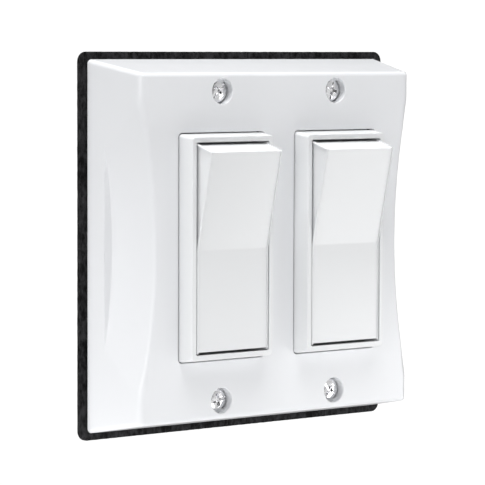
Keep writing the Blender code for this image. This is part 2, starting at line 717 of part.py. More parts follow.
def terminal_hole(way):
    """The screw's hole through a terminal's tab."""
    at = (0, TERMINAL_SCREW_Y, way * TERMINAL_RISE)
    radius = TERMINAL_SCREW_RADIUS + CLEARANCE
    return rod(radius, (TAB_INNER - 1, TAB_OUTER + 1), ROUND_STEPS, at, "X")


def make_terminals(side, switch, finish):
    """The common terminal, whose blade carries the arm, and the switched terminal."""
    width = (-STRIP_HALF_WIDTH, STRIP_HALF_WIDTH)
    blade_front = FULCRUM_Y + ARM_THICKNESS + CLEARANCE
    blade = block(width, (blade_front, STRIP_BACK), (-SHEET / 2, SHEET / 2))
    common = add_object(f"{side}_common_terminal", blade, finish, switch)
    weld(common, block(width, (STRIP_FRONT, STRIP_BACK), (-SHEET / 2, STRIP_RISE[1])), *terminal_tab(1))
    cut(common, terminal_hole(1))
    riser_z = (-STRIP_RISE[0] - SHEET, -STRIP_RISE[0])
    plate_y = (CONTACT_PLATE_FRONT, CONTACT_PLATE_FRONT + SHEET)
    plate = block(width, plate_y, (riser_z[0], -CONTACT_PLATE_END))
    switched = add_object(f"{side}_switched_terminal", plate, finish, switch)
    weld(switched, block(width, (CONTACT_PLATE_FRONT, STRIP_BACK), riser_z), *terminal_tab(-1))
    rivet_hole_at = (0, 0, -CONTACT_RISE + 0.2)
    through = (CONTACT_PLATE_FRONT - 1, CONTACT_PLATE_FRONT + SHEET + 1)
    cut(switched, rod(CONTACT_SHANK_RADIUS + CLEARANCE, through, ROUND_STEPS, rivet_hole_at))
    cut(switched, terminal_hole(-1))


def make_terminal_screws(side, switch, finish):
    """The two side screws that clamp the wires on the terminals."""
    head = TERMINAL_HEAD_HEIGHT
    length = head + TAB_OUTER + CLEARANCE - TERMINAL_SCREW_END
    for name, way in (("common", 1), ("switched", -1)):
        profile = screw_profile(TERMINAL_HEAD_RADIUS, head, 0.25, TERMINAL_SCREW_RADIUS, length)
        shape = turned([(radius, -along) for radius, along in profile], axis="X")
        at = (TAB_OUTER + CLEARANCE + head, TERMINAL_SCREW_Y, way * TERMINAL_RISE)
        screw = add_object(f"{side}_{name}_terminal_screw", shape, finish, switch, at)
        slots = cross_recess(TERMINAL_HEAD_RADIUS, 1.0, 0.55)
        for slot in slots:
            bmesh.ops.rotate(slot, verts=slot.verts, matrix=Matrix.Rotation(math.radians(90), 3, "Z"))
        cut(screw, *slots)


def make_ground_screw(side, switch, finish):
    """The green screw in the strap's tab."""
    profile = screw_profile(GROUND_HEAD_RADIUS, GROUND_HEAD_HEIGHT, 0.3, SCREW_RADIUS, GROUND_SCREW_LENGTH)
    at = (GROUND_TAB_OUTER - CLEARANCE - GROUND_HEAD_HEIGHT, *GROUND_AT)
    screw = add_object(f"{side}_ground_screw", turned(profile, axis="X"), finish, switch, at)
    slot_y = (-GROUND_HEAD_RADIUS - 1, GROUND_HEAD_RADIUS + 1)
    cut(screw, block((-1.0, 0.9), slot_y, (-0.55, 0.55)))


def make_switch_body(side, switch, finish):
    """The moulded body: an open box with a flange, stops for the arm and ways out for the terminals."""
    inset, depth = BODY_BACK_CHAMFER
    back_half = tuple(size - inset for size in BODY_HALF)
    outside = lofted(
        [
            rounded_rectangle(BODY_FRONT, BODY_HALF, BODY_CORNER),
            rounded_rectangle(BODY_BACK - depth, BODY_HALF, BODY_CORNER),
            rounded_rectangle(BODY_BACK, back_half, BODY_CORNER),
        ]
    )
    body = add_object(f"{side}_switch_body", outside, finish, switch)
    weld(body, slab((BODY_FRONT, BODY_FLANGE_BACK), BODY_FLANGE_HALF, BODY_CORNER))
    hollow_half = (BODY_HALF[0] - BODY_WALL, BODY_HALF[1] - BODY_END_WALL)
    cut(body, slab((BODY_FRONT - 1, BODY_FLOOR), hollow_half, BODY_CORNER / 2))
    for way in (-1, 1):
        pillar_x = sorted(way * x for x in PILLAR_X)
        weld(body, block(pillar_x, (PILLAR_FRONT, BODY_FLOOR + 1), PILLAR_RISE))
    wall_x = (hollow_half[0] - 1, BODY_HALF[0] + 1)
    for way in (-1, 1):
        slot_z = sorted((way * (STRIP_RISE[0] - CLEARANCE), way * (STRIP_RISE[1] + CLEARANCE)))
        cut(body, block(wall_x, (STRIP_FRONT - CLEARANCE, BODY_FLOOR), slot_z))
        screw_at = (0, TERMINAL_SCREW_Y, way * TERMINAL_RISE)
        cut(body, rod(TERMINAL_SCREW_RADIUS + 0.4, wall_x, ROUND_STEPS, screw_at, "X"))
        notch_z = sorted((way * (BOX_SCREW_RISE - WASHER_HALF - 0.6), way * (BODY_FLANGE_HALF[1] + 1)))
        notch_x = (-BODY_NOTCH_HALF_WIDTH, BODY_NOTCH_HALF_WIDTH)
        cut(body, block(notch_x, (BODY_FRONT - 1, BODY_FLANGE_BACK + 1), notch_z))
    for x, z in half_turn_mirror([RIVET_AT]):
        through = (BODY_FRONT - 1, BODY_FLANGE_BACK + 1)
        cut(body, rod(RIVET_HOLE_RADIUS, through, ROUND_STEPS, at=(x, 0, z)))


def make_rivets(side, switch, finish):
    """Two rivets through frame, strap and body."""
    head_front = FLANGE_FRONT + 0.15
    tail = BODY_FLANGE_BACK + CLEARANCE
    profile = [
        (0.0, head_front),
        (RIVET_RECESS_RADIUS - 0.5, head_front),
        (RIVET_RECESS_RADIUS - CLEARANCE, head_front + 0.2),
        (RIVET_RECESS_RADIUS - CLEARANCE, head_front + 0.55),
        (RIVET_RADIUS, head_front + 0.55),
        (RIVET_RADIUS, tail),
        (RIVET_RADIUS + 0.85, tail),
        (RIVET_RADIUS + 0.55, tail + 0.7),
        (0.0, tail + 0.7),
    ]
    for end, (x, z) in zip(("top", "bottom"), half_turn_mirror([RIVET_AT])):
        add_object(f"{side}_rivet_{end}", turned(profile), finish, switch, (x, 0, z))


def make_box_screws(side, switch, screw_finish, washer_finish):
    """The long screws into the wall box, each with the fibre washer that keeps it in the strap."""
    head_front = STRAP_FRONT - CLEARANCE - BOX_HEAD_HEIGHT
    length = BOX_SCREW_TIP - head_front
    profile = screw_profile(BOX_HEAD_RADIUS, BOX_HEAD_HEIGHT, 0.3, SCREW_RADIUS, length)
    washer_y = (STRAP_BACK + CLEARANCE, STRAP_BACK + CLEARANCE + WASHER_THICKNESS)
    for end, rise in (("top", BOX_SCREW_RISE), ("bottom", -BOX_SCREW_RISE)):
        screw = add_object(
            f"{side}_box_screw_{end}", turned(profile), screw_finish, switch, (0, head_front, rise)
        )
        cut(screw, *cross_recess(BOX_HEAD_RADIUS, 0.8))
        washer_shape = slab(washer_y, (WASHER_HALF, WASHER_HALF), 1.0)
        washer = add_object(
            f"{side}_captive_washer_{end}", washer_shape, washer_finish, switch, (0, 0, rise)
        )
        cut(washer, rod(SCREW_RADIUS + CLEARANCE, (washer_y[0] - 1, washer_y[1] + 1)))


def make_switch(side, centre, finishes):
    """Every piece of one switch, carried by an empty at its centre."""
    switch = add_empty(f"{side}_switch", (centre, 0, 0))
    make_frame(side, switch, finishes["rocker_plastic"])
    make_paddle(side, switch, finishes["rocker_plastic"])
    make_window_seal(side, switch, finishes["gasket_foam"])
    make_strap(side, switch, finishes["strap_steel"])
    make_switch_body(side, switch, finishes["body_plastic"])
    make_plunger(side, switch, finishes["plunger_plastic"])
    make_plunger_spring(side, switch, finishes["spring_steel"])
    make_contact_arm(side, switch, finishes["terminal_brass"])
    make_contacts(side, switch, finishes["contact_silver"])
    make_terminals(side, switch, finishes["terminal_brass"])
    make_terminal_screws(side, switch, finishes["terminal_brass"])
    make_ground_screw(side, switch, finishes["ground_green"])
    make_rivets(side, switch, finishes["strap_steel"])
    make_box_screws(side, switch, finishes["strap_steel"], finishes["washer_fibre"])


def main():
    """Builds the whole unit."""
    clear_scene()
    finishes = make_finishes()
    make_cover(finishes["cover_plastic"])
    make_gasket(finishes["gasket_foam"])
    make_cover_screws(finishes["screw_chrome"])
    for side, centre in gang_places():
        make_switch(side, centre, finishes)


main()
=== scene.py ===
"""Looks of a two-gang rocker wall switch in a deep weatherproof cover.

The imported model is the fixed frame. This script puts finished surfaces and procedural finishes on
it, and adds a camera, a floor and soft studio light. Shapes are worked out in millimetres, in the
frame's axes: +X to the right, +Y into the wall, +Z up, with the origin on the wall plane.
"""

from __future__ import annotations

import json
import logging
import math
from collections.abc import Iterable
from dataclasses import dataclass, field
from enum import Enum
from typing import Any

import bmesh
import bpy
import numpy as np
from mathutils import Matrix, Vector
from mathutils.geometry import tessellate_polygon

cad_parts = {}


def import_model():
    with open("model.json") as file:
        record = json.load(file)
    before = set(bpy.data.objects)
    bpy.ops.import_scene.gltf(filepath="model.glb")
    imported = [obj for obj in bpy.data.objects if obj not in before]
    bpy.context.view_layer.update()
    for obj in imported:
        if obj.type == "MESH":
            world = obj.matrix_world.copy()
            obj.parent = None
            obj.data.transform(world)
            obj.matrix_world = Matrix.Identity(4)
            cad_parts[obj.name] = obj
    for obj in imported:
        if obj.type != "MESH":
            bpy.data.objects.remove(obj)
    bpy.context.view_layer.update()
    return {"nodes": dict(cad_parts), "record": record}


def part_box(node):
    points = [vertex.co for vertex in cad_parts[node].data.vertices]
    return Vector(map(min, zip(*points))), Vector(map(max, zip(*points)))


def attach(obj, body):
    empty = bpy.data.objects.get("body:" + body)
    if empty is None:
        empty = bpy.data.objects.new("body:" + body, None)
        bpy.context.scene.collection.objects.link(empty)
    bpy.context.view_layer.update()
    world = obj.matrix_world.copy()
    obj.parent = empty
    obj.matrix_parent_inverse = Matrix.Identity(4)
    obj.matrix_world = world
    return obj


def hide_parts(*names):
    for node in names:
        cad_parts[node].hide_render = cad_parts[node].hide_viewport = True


LOG = logging.getLogger("rocker_switch")
MM = 0.001
CLEARANCE = 0.3
FULL_TURN = 2 * math.pi
QUARTER_TURN = math.pi / 2
WELD_DISTANCE = 2e-6
TINY_LENGTH = 1e-9
TINY_AREA = 1e-20
FLAT_WEIGHT = 1000.0
SHARP_ANGLE = math.radians(32)
SCREW_PITCH = 0.794
ROD_STEPS = 40

# How far a cutting tool reaches past the face that it cuts.
PAST = 1.0

# The four corners of a rectangle, in turn, as signs of its half width and half height.
CORNERS = np.array([[1, 1], [-1, 1], [-1, -1], [1, -1]], float)

Array = np.ndarray
Materials = dict[str, bpy.types.Material]


# ---------------------------------------------------------------- shapes as arrays


class Facing(Enum):
    """The way in which a turned shape's axis points into the unit."""

    BACK = "back"
    LEFT = "left"
    RIGHT = "right"


class Shading(Enum):
    """How a surface's normals are made."""

    ROUNDED = "rounded"
    CREASED = "creased"


@dataclass(frozen=True)
class NodeBox:
    """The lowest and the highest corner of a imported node, in millimetres."""

    low: Array
    high: Array

    @classmethod
    def of(cls, node: str) -> NodeBox:
        """The box of the node with that name."""
        low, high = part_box(node)
        return cls(np.array(low) / MM, np.array(high) / MM)

    @property
    def half(self) -> Array:
        """Half of the box's size along each axis."""
        return (self.high - self.low) / 2

    @property
    def middle(self) -> Array:
        """The middle of the box."""
        return (self.high + self.low) / 2


def smooth_step(low: float | Array, high: float | Array, value: Array) -> Array:
    """Goes from 0 at low to 1 at high as 3 t^2 - 2 t^3.

    Args:
        low: Where the result leaves 0.
        high: Where the result reaches 1.
        value: The places to read.

    Returns:
        The share at each place.
    """
    share = np.clip((value - low) / (high - low), 0.0, 1.0)
    return share * share * (3 - 2 * share)


def soft_minimum(first: Array, second: Array, softness: float) -> Array:
    """The lower of two heights, with the ridge where they cross rounded off.

    Where h = 1/2 + (second - first) / (2 softness), clipped to 0..1, the result is the blend of
    second and first by h, less softness h (1 - h).

    Args:
        first: One set of heights.
        second: The other set.
        softness: Half the width of the rounding.

    Returns:
        The rounded minimum.
    """
    share = np.clip(0.5 + 0.5 * (second - first) / softness, 0.0, 1.0)
    return second * (1 - share) + first * share - softness * share * (1 - share)


def ripple(points: Array, wavelength: float, seed: int, waves: int = 14) -> Array:
    """Smooth unevenness between about -1 and 1: a sum of sines in seeded directions.

    The wavelengths lie between 0.6 and 1.7 times the middle one.

    Args:
        points: Places, with x, y and z last.
        wavelength: The middle wavelength, in millimetres.
        seed: Which directions and phases to draw.
        waves: How many sines to add.

    Returns:
        The height at each place.
    """
    draw = np.random.default_rng(seed)
    direction = draw.normal(size=(waves, 3))
    direction /= np.linalg.norm(direction, axis=1, keepdims=True)
    reach = FULL_TURN / (wavelength * draw.uniform(0.6, 1.7, waves))
    phase = draw.uniform(0, FULL_TURN, waves)
    angles = points @ (direction * reach[:, None]).T + phase
    return np.sin(angles).sum(axis=-1) * math.sqrt(2 / waves) / 2


def softened(corners: Iterable[Iterable[float]], soft: Iterable[float], steps: int = 5) -> Array:
    """Rounds the corners of a path.

    Each corner C becomes the curve (1 - t)^2 A + 2 t (1 - t) C + t^2 B, where A and B lie on the
    path's two sides at the corner's own soft distance.

    Args:
        corners: One row for each corner.
        soft: The soft distance of each corner, 0 for a corner that stays as it is.
        steps: How many steps the curve takes.

    Returns:
        The rows of the rounded path.
    """
    corner = np.asarray(corners, float)
    distance = np.asarray(soft, float)[:, None]
    share = np.linspace(0, 1, steps + 1)[None, :, None]
    ends = []
    for shift in (1, -1):
        side = np.roll(corner, shift, axis=0) - corner
        length = np.maximum(np.linalg.norm(side, axis=1, keepdims=True), TINY_LENGTH)
        ends.append((corner + distance * side / length)[:, None])
    first, last = ends
    curve = (1 - share) ** 2 * first + 2 * share * (1 - share) * corner[:, None] + share**2 * last
    return curve.reshape(-1, corner.shape[1])


def softened_run(
    corners: Iterable[Iterable[float]], soft: Iterable[float], steps: int = 5, ends: int = 1
) -> Array:
    """Rounds the corners between the two ends of a path.

    Args:
        corners: One row for each corner, with the two ends.
        soft: The soft distance of each corner, 0 at the ends.
        steps: How many steps each curve takes.
        ends: How many rows each end keeps: 1, or 0 where the ends only steer the curves.

    Returns:
        The rows of the rounded path.
    """
    skipped = steps + 1 - ends
    return softened(corners, soft, steps)[skipped:-skipped]


def at_depths(sizes: Iterable[float], *depths: float) -> list[tuple[float, ...]]:
    """The same sizes at several depths."""
    return [(*sizes, depth) for depth in depths]


def rectangle_rings(
    sections: Iterable[Iterable[float]], centre: tuple[float, float] = (0.0, 0.0), steps: int = 6
) -> Array:
    """Rings that are rounded rectangles facing along Y.

    A ring's point is its corner, (half width - radius, half height - radius), plus the radius times
    the unit vector at the point's angle.

    Args:
        sections: Rows of half width, half height, corner radius and depth.
        centre: The rings' centre, x and z.
        steps: How many steps each corner takes.

    Returns:
        An array of rings, points and coordinates.
    """
    sections = np.asarray(sections, float)
    angle = QUARTER_TURN * (np.arange(4)[:, None] + np.linspace(0, 1, steps + 1)[None, :])
    arc = np.stack([np.cos(angle), np.sin(angle)], axis=-1)
    radius = sections[:, None, None, 2:3]
    flat = CORNERS[None, :, None] * (sections[:, None, None, :2] - radius) + radius * arc[None]
    flat = flat.reshape(len(sections), -1, 2)
    depth = np.broadcast_to(sections[:, 3:4], flat.shape[:2])
    return np.stack([flat[..., 0] + centre[0], depth, flat[..., 1] + centre[1]], axis=-1)


def turned_rings(profile: Iterable[Iterable[float]], steps: int, turn: float = 0.0) -> Array:
    """Rings round the Y axis from rows of radius and depth.

    Args:
        profile: Rows of radius and depth.
        steps: How many points each ring has.
        turn: The angle of each ring's first point.

    Returns:
        An array of rings, points and coordinates.
    """
    profile = np.asarray(profile, float)
    angle = turn + FULL_TURN * np.arange(steps) / steps
    radius = profile[:, :1]
    depth = np.broadcast_to(profile[:, 1:], (len(profile), steps))
    return np.stack([radius * np.cos(angle), depth, radius * np.sin(angle)], axis=-1)


def placed(points: Array, at: Iterable[float], facing: Facing = Facing.BACK) -> Array:
    """Turns points so that their Y axis faces another way, then moves them.

    Args:
        points: Points whose axis is Y.
        at: Where the origin goes.
        facing: Where the Y axis then points.

    Returns:
        The points in the frame.
    """
    x, y, z = points[..., 0], points[..., 1], points[..., 2]
    turned = {
        Facing.BACK: (x, y, z),
        Facing.LEFT: (-y, x, z),
        Facing.RIGHT: (y, -x, z),
    }[facing]
    return np.stack(turned, axis=-1) + np.asarray(list(at), float)


class Surface:
    """A closed surface put together from patches whose borders share their points."""

    def __init__(self) -> None:
        """Starts with no patch."""
        self.points: list[Array] = []
        self.faces: list[list[int]] = []
        self.weights: list[float] = []
        self.count = 0

    def _add_points(self, points: Array) -> int:
        """Keeps a patch's points and returns the number of its first one."""
        start = self.count
        flat = np.asarray(points, float).reshape(-1, 3)
        self.points.append(flat)
        self.count += len(flat)
        return start

    def grid(self, points: Array, closed_rows: bool = False, closed_ring: bool = True) -> Surface:
        """Adds quads between neighbouring points of a grid.

        Args:
            points: An array of rows, columns and coordinates.
            closed_rows: Whether the last row joins the first.
            closed_ring: Whether the last column joins the first.

        Returns:
            The surface itself.
        """
        rows, columns = points.shape[:2]
        number = self._add_points(points) + np.arange(rows * columns).reshape(rows, columns)
        if closed_rows:
            number = np.vstack([number, number[:1]])
        if closed_ring:
            number = np.hstack([number, number[:, :1]])
        corners = (number[:-1, :-1], number[:-1, 1:], number[1:, 1:], number[1:, :-1])
        quads = np.stack(corners, axis=-1).reshape(-1, 4)
        self.faces.extend(quads.tolist())
        self.weights.extend([1.0] * len(quads))
        return self

    def fill(self, outline: Array, *holes: Array) -> Surface:
        """Adds a flat face inside an outline, with holes.

        Args:
            outline: The outline's points.
            *holes: The points of each hole's outline.

        Returns:
            The surface itself.
        """
        loops = [outline, *holes]
        start = self._add_points(np.concatenate(loops))
        triangles = tessellate_polygon([[Vector(point) for point in loop] for loop in loops])
        self.faces.extend([[start + corner for corner in triangle] for triangle in triangles])
        self.weights.extend([FLAT_WEIGHT] * len(triangles))
        return self

    def caps(self, rings: Array) -> Surface:
        """Closes the two ends of a stack of rings with flat faces."""
        return self.fill(rings[0]).fill(rings[-1])

    def write(self, name: str, shading: Shading = Shading.ROUNDED) -> bpy.types.Object:
        """Makes the surface a mesh object, in metres, with its faces pointing out.

        Args:
            name: The object's name.
            shading: How its normals are made.

        Returns:
            The object, which sits at the origin.
        """
        mesh = bpy.data.meshes.new(name)
        mesh.from_pydata((np.concatenate(self.points) * MM).tolist(), [], self.faces)
        weight = mesh.attributes.new("weight", "FLOAT", "FACE")
        weight.data.foreach_set("value", self.weights)
        shape = bmesh.new()
        shape.from_mesh(mesh)
        bmesh.ops.remove_doubles(shape, verts=shape.verts, dist=WELD_DISTANCE)
        bmesh.ops.recalc_face_normals(shape, faces=shape.faces)
        open_edges = sum(1 for edge in shape.edges if not edge.is_manifold)
        shape.to_mesh(mesh)
        shape.free()
        if open_edges:
            LOG.warning("%s has %d open edges", name, open_edges)
        mesh.shade_smooth()
        if shading is Shading.CREASED:
            mesh.set_sharp_from_angle(angle=SHARP_ANGLE)
        else:
            set_rounded_normals(mesh)
        mesh.attributes.remove(mesh.attributes["weight"])
        piece = bpy.data.objects.new(name, mesh)
        bpy.context.scene.collection.objects.link(piece)
        return piece


def set_rounded_normals(mesh: bpy.types.Mesh) -> None:
    """Gives each vertex the sum of its faces' normals times their area and weight.

    Args:
        mesh: A mesh with a face attribute named weight.
    """
    count = len(mesh.polygons)
    normal, area, weight = np.empty(count * 3), np.empty(count), np.empty(count)
    sizes = np.empty(count, int)
    corner = np.empty(len(mesh.loops), int)
    mesh.polygons.foreach_get("normal", normal)
    mesh.polygons.foreach_get("area", area)
    mesh.polygons.foreach_get("loop_total", sizes)
    mesh.attributes["weight"].data.foreach_get("value", weight)
    mesh.loops.foreach_get("vertex_index", corner)
    share = np.repeat(normal.reshape(-1, 3) * (area * weight)[:, None], sizes, axis=0)
    total = [np.bincount(corner, share[:, axis], len(mesh.vertices)) for axis in range(3)]
    summed = np.stack(total, axis=1)
    summed /= np.maximum(np.linalg.norm(summed, axis=1, keepdims=True), TINY_AREA)
    mesh.normals_split_custom_set_from_vertices(summed.tolist())


def carve(piece: bpy.types.Object, operation: str, *tools: bpy.types.Object) -> None:
    """Cuts tools from a piece or welds them to it, for good, and removes the tools.

    Args:
        piece: The object to change.
        operation: DIFFERENCE or UNION.
        *tools: Closed objects.
    """
    for tool in tools:
        boolean = piece.modifiers.new(tool.name, "BOOLEAN")
        boolean.operation = operation
        boolean.object = tool
    graph = bpy.context.evaluated_depsgraph_get()
    mesh = bpy.data.meshes.new_from_object(piece.evaluated_get(graph))
    piece.modifiers.clear()
    piece.data = mesh
    for tool in tools:
        bpy.data.objects.remove(tool)


def finish_edges(piece: bpy.types.Object, width: float = 0.0) -> None:
    """Rounds a carved piece's edges and lets its large faces lead the normals.

    Args:
        piece: The object to finish.
        width: The width of the rounding in millimetres, or 0 for none.
    """
    piece.data.shade_smooth()
    piece.data.set_sharp_from_angle(angle=SHARP_ANGLE)
    if width:
        bevel = piece.modifiers.new("Soft edges", "BEVEL")
        bevel.width = width * MM
        bevel.segments = 2
        bevel.limit_method = "ANGLE"
        bevel.angle_limit = SHARP_ANGLE
        bevel.harden_normals = True
    weighted = piece.modifiers.new("Flat faces lead", "WEIGHTED_NORMAL")
    weighted.weight = 80
    weighted.keep_sharp = True


def slab(name: str, sections: Iterable[Iterable[float]], centre: tuple[float, float]) -> bpy.types.Object:
    """A capped stack of rounded rectangles, for carving."""
    rings = rectangle_rings(sections, centre)
    return Surface().grid(rings).caps(rings).write(name, Shading.CREASED)


def block(name: str, low: Iterable[float], high: Iterable[float]) -> bpy.types.Object:
    """A rectangular block between two corners, for carving."""
    low, high = np.asarray(list(low), float), np.asarray(list(high), float)
    middle, half = (low + high) / 2, (high - low) / 2
    flat = CORNERS * half[[0, 2]] + middle[[0, 2]]
    rings = np.stack([np.insert(flat, 1, depth, axis=1) for depth in (low[1], high[1])])
    return Surface().grid(rings).caps(rings).write(name, Shading.CREASED)


def rod(
    name: str, profile: Iterable[Iterable[float]], at: Iterable[float], facing: Facing = Facing.BACK
) -> bpy.types.Object:
    """A capped turned shape from rows of radius and depth, for carving."""
    rings = placed(turned_rings(profile, ROD_STEPS), at, facing)
    return Surface().grid(rings).caps(rings).write(name, Shading.CREASED)


def belong(piece: bpy.types.Object, body: str, slot: str, materials: Materials, *nodes: str) -> None:
    """Dresses a finished piece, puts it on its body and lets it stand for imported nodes.

    Args:
        piece: The finished object.
        body: The body that it rides on.
        slot: The record's material slot.
        materials: The finishes by slot.
        *nodes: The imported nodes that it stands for.
    """
    piece.data.materials.clear()
    piece.data.materials.append(materials[slot])
    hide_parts(*nodes)
    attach(piece, body)
    LOG.info("%s rides on %s: %d faces", piece.name, body, len(piece.data.polygons))


# ---------------------------------------------------------------- finishes


@dataclass(frozen=True)
class Value:
    """A shader socket that carries a number, with arithmetic."""

    graph: Graph
    socket: bpy.types.NodeSocket

    def _with(self, operation: str, first: Any, second: Any) -> Value:
        """A Math node on two numbers or values."""
        made = self.graph.node("ShaderNodeMath", {0: first, 1: second}, operation=operation)
        return Value(self.graph, made.outputs[0])

    def __add__(self, other: Any) -> Value:
        """This value plus another."""
        return self._with("ADD", self, other)

    def __radd__(self, other: Any) -> Value:
        """A number plus this value."""
        return self._with("ADD", other, self)

    def __sub__(self, other: Any) -> Value:
        """This value less another."""
        return self._with("SUBTRACT", self, other)

    def __rsub__(self, other: Any) -> Value:
        """A number less this value."""
        return self._with("SUBTRACT", other, self)

    def __mul__(self, other: Any) -> Value:
        """This value times another."""
        return self._with("MULTIPLY", self, other)

    def __rmul__(self, other: Any) -> Value:
        """A number times this value."""
        return self._with("MULTIPLY", other, self)


class Graph:
    """The node tree of a material or a world."""

    def __init__(self, owner: bpy.types.Material | bpy.types.World) -> None:
        """Starts with an empty tree.

        Args:
            owner: The new material or world.
        """
        self.owner = owner
        owner.use_nodes = True
        self.tree = owner.node_tree
        self.tree.nodes.clear()

    def node(self, kind: str, inputs: dict[Any, Any] | None = None, **settings: Any) -> Any:
        """Adds a node.

        Args:
            kind: The node's type.
            inputs: The values or links of its sockets, by name or number.
            **settings: Its properties, where stops are a colour ramp's positions and greys.

        Returns:
            The node.
        """
        made = self.tree.nodes.new(kind)
        for name, value in settings.items():
            if name == "stops":
                self._set_stops(made.color_ramp, value)
            else:
                setattr(made, name, value)
        for name, value in (inputs or {}).items():
            source = value.socket if isinstance(value, Value) else value
            if isinstance(source, bpy.types.NodeSocket):
                self.tree.links.new(source, made.inputs[name])
            else:
                made.inputs[name].default_value = source
        return made

    @staticmethod
    def _set_stops(ramp: Any, stops: Iterable[tuple[float, float]]) -> None:
        """Gives a colour ramp its positions and greys."""
        for index, (position, grey) in enumerate(stops):
            while len(ramp.elements) <= index:
                ramp.elements.new(1.0)
            ramp.elements[index].position = position
            ramp.elements[index].color = (grey, grey, grey, 1.0)

    def place(self, stretch: tuple[float, float, float] = (1.0, 1.0, 1.0)) -> Any:
        """Object coordinates in millimetres, stretched along each axis."""
        coordinates = self.node("ShaderNodeTexCoord").outputs["Object"]
        scale = tuple(factor / MM for factor in stretch)
        return self.node("ShaderNodeMapping", {"Vector": coordinates, "Scale": scale}).outputs[0]

    def noise(self, size: float, detail: float = 3.0, place: Any = None, roughness: float = 0.5) -> Value:
        """Fractal noise from 0 to 1 whose largest features are about size millimetres."""
        place = place or self.place()
        inputs = {"Vector": place, "Scale": 1 / size, "Detail": detail, "Roughness": roughness}
        return Value(self, self.node("ShaderNodeTexNoise", inputs).outputs[0])

    def cells(self, size: float) -> Value:
        """The distance to the nearest of scattered points that lie about size millimetres apart."""
        inputs = {"Vector": self.place(), "Scale": 1 / size}
        return Value(self, self.node("ShaderNodeTexVoronoi", inputs, feature="F1").outputs["Distance"])

    def ramp(self, value: Value, *stops: tuple[float, float]) -> Value:
        """A value read through a colour ramp of greys."""
        made = self.node("ShaderNodeValToRGB", {"Fac": value}, stops=stops)
        return Value(self, made.outputs["Color"])

    def blend(self, share: Value, first: Iterable[float], second: Iterable[float]) -> bpy.types.NodeSocket:
        """A colour between two others."""
        inputs = {0: share, 6: (*first, 1.0), 7: (*second, 1.0)}
        return self.node("ShaderNodeMix", inputs, data_type="RGBA").outputs[2]

    def bump(self, height: Value, distance: float) -> bpy.types.NodeSocket:
        """A normal bent by a height, where distance is the height's full size in millimetres."""
        inputs = {"Height": height, "Distance": distance * MM, "Strength": 1.0}
        return self.node("ShaderNodeBump", inputs).outputs[0]

    def surface(self, inputs: dict[str, Any]) -> bpy.types.Material:
        """Ends the material with a Principled BSDF and returns it."""
        shader = self.node("ShaderNodeBsdfPrincipled", inputs)
        self.node("ShaderNodeOutputMaterial", {"Surface": shader.outputs[0]})
        return self.owner


@dataclass(frozen=True)
class GlossPlastic:
    """White moulded plastic: a near-even colour, a soft gloss and a very fine moulded texture."""

    name: str
    colour: tuple[float, float, float]
    shade: tuple[float, float, float]
    roughness: float = 0.19
    texture: float = 0.006

    def make(self) -> bpy.types.Material:
        """The material."""
        graph = Graph(bpy.data.materials.new(self.name))
        cloud = graph.noise(28.0, detail=2.0)
        grain = graph.noise(0.35, detail=2.0)
        swell = graph.noise(9.0, detail=1.0)
        polish = graph.noise(6.0, detail=4.0, roughness=0.65)
        height = grain * 0.35 + swell
        return graph.surface(
            {
                "Base Color": graph.blend(cloud, self.colour, self.shade),
                "Roughness": polish * 0.08 + (self.roughness - 0.04),
                "Normal": graph.bump(height, self.texture),
                "IOR": 1.5,
            }
        )


@dataclass(frozen=True)
class Foam:
    """Black closed-cell foam with a matted, fibrous cut surface."""

    name: str
    dark: tuple[float, float, float]
    light: tuple[float, float, float]
    stretch: tuple[float, float, float] = (1.0, 1.0, 0.4)

    def make(self) -> bpy.types.Material:
        """The material."""
        graph = Graph(bpy.data.materials.new(self.name))
        fibres = graph.noise(1.1, 6.0, graph.place(self.stretch), roughness=0.72)
        mottle = graph.noise(3.4)
        cells = graph.cells(0.45)
        tone = graph.ramp(fibres * 0.75 + mottle * 0.35, (0.46, 0.0), (0.66, 1.0))
        height = fibres * 0.8 - cells * 0.5
        return graph.surface(
            {
                "Base Color": graph.blend(tone, self.dark, self.light),
                "Roughness": 0.82 + mottle * 0.15,
                "Normal": graph.bump(height, 0.35),
                "Specular IOR Level": 0.15,
            }
        )


@dataclass(frozen=True)
class Metal:
    """Metal with fine drawn or turned marks, dull patches and a slight waviness."""

    name: str
    colour: tuple[float, float, float]
    dull: tuple[float, float, float]
    roughness: float
    marks: tuple[float, float, float] = (1.0, 1.0, 1.0)
    mark_depth: float = 0.004
    waviness: float = 0.0

    def make(self) -> bpy.types.Material:
        """The material."""
        graph = Graph(bpy.data.materials.new(self.name))
        patches = graph.noise(4.5, detail=4.0, roughness=0.6)
        lines = graph.noise(0.5, place=graph.place(self.marks))
        waves = graph.noise(1.3, detail=1.0)
        tarnish = graph.ramp(patches, (0.35, 0.0), (0.75, 1.0))
        return graph.surface(
            {
                "Base Color": graph.blend(tarnish, self.colour, self.dull),
                "Metallic": 1.0,
                "Roughness": self.roughness + tarnish * 0.1 + lines * 0.06,
                "Normal": graph.bump(lines * self.mark_depth + waves * self.waviness, 1.0),
            }
        )


@dataclass(frozen=True)
class MattePlastic:
    """Moulded engineering plastic with a spark-eroded grain."""

    name: str
    colour: tuple[float, float, float]
    shade: tuple[float, float, float]
    roughness: float = 0.5
    grain: float = 0.02

    def make(self) -> bpy.types.Material:
        """The material."""
        graph = Graph(bpy.data.materials.new(self.name))
        cloud = graph.noise(14.0)
        grain = graph.noise(0.3)
        pits = graph.cells(0.5)
        return graph.surface(
            {
                "Base Color": graph.blend(cloud, self.colour, self.shade),
                "Roughness": self.roughness + grain * 0.16 - 0.08,
                "Normal": graph.bump(grain + pits * 0.6, self.grain),
            }
        )


